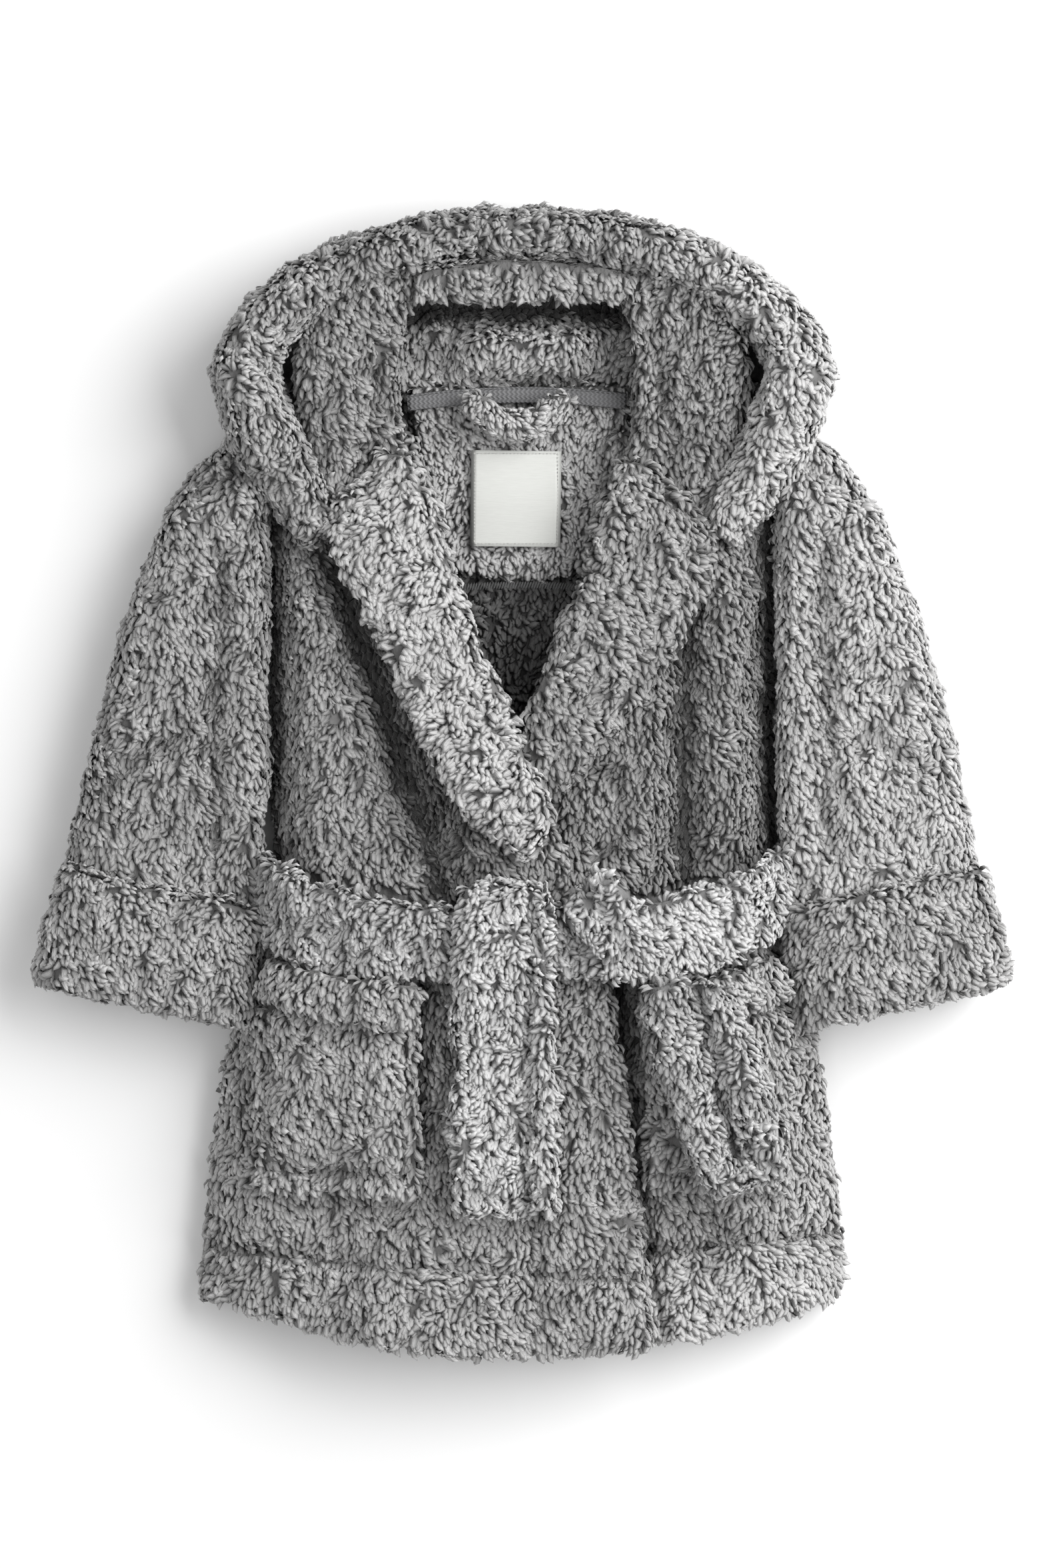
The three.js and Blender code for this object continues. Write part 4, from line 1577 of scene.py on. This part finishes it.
@dataclass
class NeckTrim:
    """The facing inside the neck, the tape over its seam, the blank label and the loop."""

    tape_flat: tuple[float, float] = (0.114, 0.01)
    label_flat: tuple[float, float] = (0.047, 0.05)
    facing_flat: tuple[float, float] = (0.12, 0.101)
    proud: float = 4.5
    loop_steps: int = 18

    def _strip(self, name: str, path: Sequence[Point], width: float,
               thick: float) -> bpy.types.Object:
        """A flat strip that follows a path, closed all round.

        Args:
            name: the strip's name.
            path: the points of its middle line.
            width: its width.
            thick: its thickness.

        Returns:
            The strip.
        """
        points = []
        for i, spot in enumerate(path):
            before, after = Vector(path[max(0, i - 1)]), Vector(path[min(len(path) - 1, i + 1)])
            run = (after - before).normalized()
            side = Vector((-run.y, run.x, 0)).normalized()
            for across, up in ((-1, 0), (-0.86, 1), (0.86, 1), (1, 0), (0.86, -1), (-0.86, -1)):
                p = Vector(spot) + side * (across * width / 2)
                points.append(place(p.x, p.y, p.z + up * thick / 2))
        faces: list[Sequence[int]] = []
        for j in range(len(path) - 1):
            for i in range(6):
                k = (i + 1) % 6
                faces.append((j * 6 + i, j * 6 + k, j * 6 + 6 + k, j * 6 + 6 + i))
        last = (len(path) - 1) * 6
        faces += [tuple(range(6)), tuple(last + i for i in range(6))]
        return add_object(name, mesh_of(name, points, faces))

    def _sew(self, label_z: float, tape_z: float) -> None:
        """The stitches round the label, along the tape and under the facing.

        Args:
            label_z: the height of the label's stitches.
            tape_z: the height of the tape's stitches.
        """
        round_label = [(-24.9, 472.5, label_z), (-25.2, 425.6, label_z), (18.2, 425.6, label_z),
                       (18.5, 472.5, label_z), (-24.9, 472.5, label_z)]
        tape = [(x, 506.2 - 0.0012 * x * x, tape_z) for x in range(-58, 54, 7)]
        edge = [(x, 404 - 0.0012 * x * x, 20.0) for x in range(-44, 47, 6)]
        for name, path, pitch, length, radius, turn, thread in (
                ("label_stitches", round_label, 1.9, 3.2, 0.24, 0.0, LABEL_THREAD),
                ("tape_stitches", tape, 2.6, 3.4, 0.28, 0.0, THREAD),
                ("facing_overlock", edge, 1.4, 4.0, 0.6, 1.2, THREAD)):
            row = SEAMS.sew(name, path, pitch, length, radius, turn, thread)
            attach(row, Body.ROBE.value)

    def _level(self, node: str) -> float:
        """The middle height of a CAD node, in millimetres."""
        low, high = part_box(node)
        return (low[2] + high[2]) / 2 / MM

    def build(self) -> list[Garment]:
        """The facing in fleece; the tape, label and loop are dressed here.

        Returns:
            The facing and the loop, which grow a coat.
        """
        facing = soften(copy_nodes("neck_facing", ("back_neck_facing",)), 2.8, 3)
        facing.data.transform(Matrix.Diagonal((1.2, 1.0, 1.0, 1.0)))
        # painted light: the facing is painted lighter
        shape(facing, (Fold((-50, 414), (50, 414), 2.0, 5),), 1.0, 16.0, inset=0.6,
              cover=lambda x, y, z: 0.25 if abs(x + 3.5) < 22 and 430 < y < 468 else 1.0,
              tint=lambda x, y: 1.1)
        tape_z, label_z, loop_z = (self.proud + self._level(n)
                                   for n in ("neck_tape", "neck_label", "hanging_loop"))
        tape = self._strip("neck_tape_strip", [(x, 503 - 0.0012 * x * x, tape_z) for x in
                                               np.linspace(-60, 54, 41).tolist()], 8.5, 0.9)
        label = self._strip("neck_label_cloth", [
            (-3.5 + (y - 449) * 0.012, y, label_z + 0.35 * math.sin(y / 7))
            for y in np.linspace(424, 474, 25).tolist()], 47, 0.8)
        tape_look = WARDROBE.get(TAPE.name, TAPE.material)
        label_look = WARDROBE.get(LABEL.name, LABEL.material)
        for piece, node, slot, look, flat in (
                (tape, "neck_tape", "twill_tape", tape_look, self.tape_flat),
                (label, "neck_label", "satin_label", label_look, self.label_flat)):
            piece.data.materials.append(look)
            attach(piece, Body.ROBE.value)
            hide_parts(node)
            log.info("%s: made", piece.name)
        self._sew(label_z + 0.5, tape_z + 0.5)
        slices = []
        for i in range(self.loop_steps + 1):
            turn = math.pi * i / self.loop_steps
            x, y = -2 - 22 * math.cos(turn), 502.5 - 15 * math.sin(turn)
            slices.append(Slice(x, y, loop_z + 5.5, 6.6, 4.2, turn + math.pi))
        loop = soften(loft("hanging_loop_roll", slices, 12, 2.1), 1.6, 1)
        # painted light: the loop is painted lighter
        shape(loop, (), 0.8, 10.0, inset=0.6, tint=lambda x, y: 1.1)
        return [Garment(facing, Body.ROBE, ("back_neck_facing",), "fleece_inside",
                        flat=self.facing_flat, rests_on=("back",),
                        coat=Coat(density=0.27, length=0.85, below=0.1)),
                Garment(loop, Body.LOOP, ("hanging_loop",), "fleece", fill=0.4,
                        coat=Coat(density=0.42, length=0.8, swirl=0.9, below=0.5))]


@dataclass
class Studio:
    """The white table, the soft lights and the camera overhead."""

    floor_half: float = 3.0
    floor_z: float = -0.0004
    key_power: float = 57.0
    key_size: float = 1.8
    key_place: Point = (1.35, 0.55, 1.35)
    fill_power: float = 7.0
    fill_size: float = 1.6
    fill_place: Point = (-1.0, -0.4, 1.7)
    sky: float = 0.45
    camera_place: Point = (0.0, -0.001, 2.5)
    view_height: float = 0.8232
    sensor: float = 36.0

    def _light(self, name: str, power: float, size: float, spot: Point) -> None:
        """A square area light that looks at the robe's middle.

        Args:
            name: the light's name.
            power: its power, in watts.
            size: the length of its side.
            spot: where it stands, in metres.
        """
        data = bpy.data.lights.new(name, "AREA")
        data.shape = "SQUARE"
        data.energy, data.size = power, size
        lamp = bpy.data.objects.new(name, data)
        lamp.location = spot
        lamp.rotation_euler = (-Vector(spot)).to_track_quat("-Z", "Y").to_euler()
        bpy.context.scene.collection.objects.link(lamp)

    def build(self) -> None:
        """The floor, world, lights and camera."""
        h = self.floor_half
        corners = [Vector((x, y, self.floor_z)) for x, y in ((-h, -h), (h, -h), (h, h), (-h, h))]
        floor = add_object("table_top", mesh_of("table_top", corners, [(0, 1, 2, 3)]))
        look = Surface("table_white", {"Roughness": 0.9, "Specular IOR Level": 0.05,
                                       "Base Color": (0.92, 0.92, 0.92, 1)})
        floor.data.materials.append(look.material)
        scene = bpy.context.scene
        scene.view_settings.view_transform = "Standard"
        world = bpy.data.worlds.new("studio")
        world.use_nodes = True
        ground = world.node_tree.nodes["Background"]
        ground.inputs["Color"].default_value = (1, 1, 1, 1)
        ground.inputs["Strength"].default_value = self.sky
        scene.world = world
        self._light("key", self.key_power, self.key_size, self.key_place)
        self._light("fill", self.fill_power, self.fill_size, self.fill_place)
        lens = bpy.data.cameras.new("overhead")
        lens.sensor_fit = "VERTICAL"
        lens.sensor_height = self.sensor
        lens.lens = self.sensor * self.camera_place[2] / self.view_height
        camera = bpy.data.objects.new("overhead", lens)
        camera.location = self.camera_place
        scene.collection.objects.link(camera)
        scene.camera = camera


def main() -> None:
    """Builds the robe from the inside out, then the studio."""
    logging.basicConfig(level=logging.INFO, format="%(message)s")
    for part in (BodyPanels(), Pockets(), Lapels(), Hood(), Sleeves(), Belt(), NeckTrim()):
        for piece in part.build():
            piece.finish()
    Studio().build()
    total = sum(len(o.data.polygons) for o in bpy.data.objects if o.type == "MESH" and
                not o.hide_render)
    log.info("faces in all: %d", total)


if __name__ == "__main__":
    main()
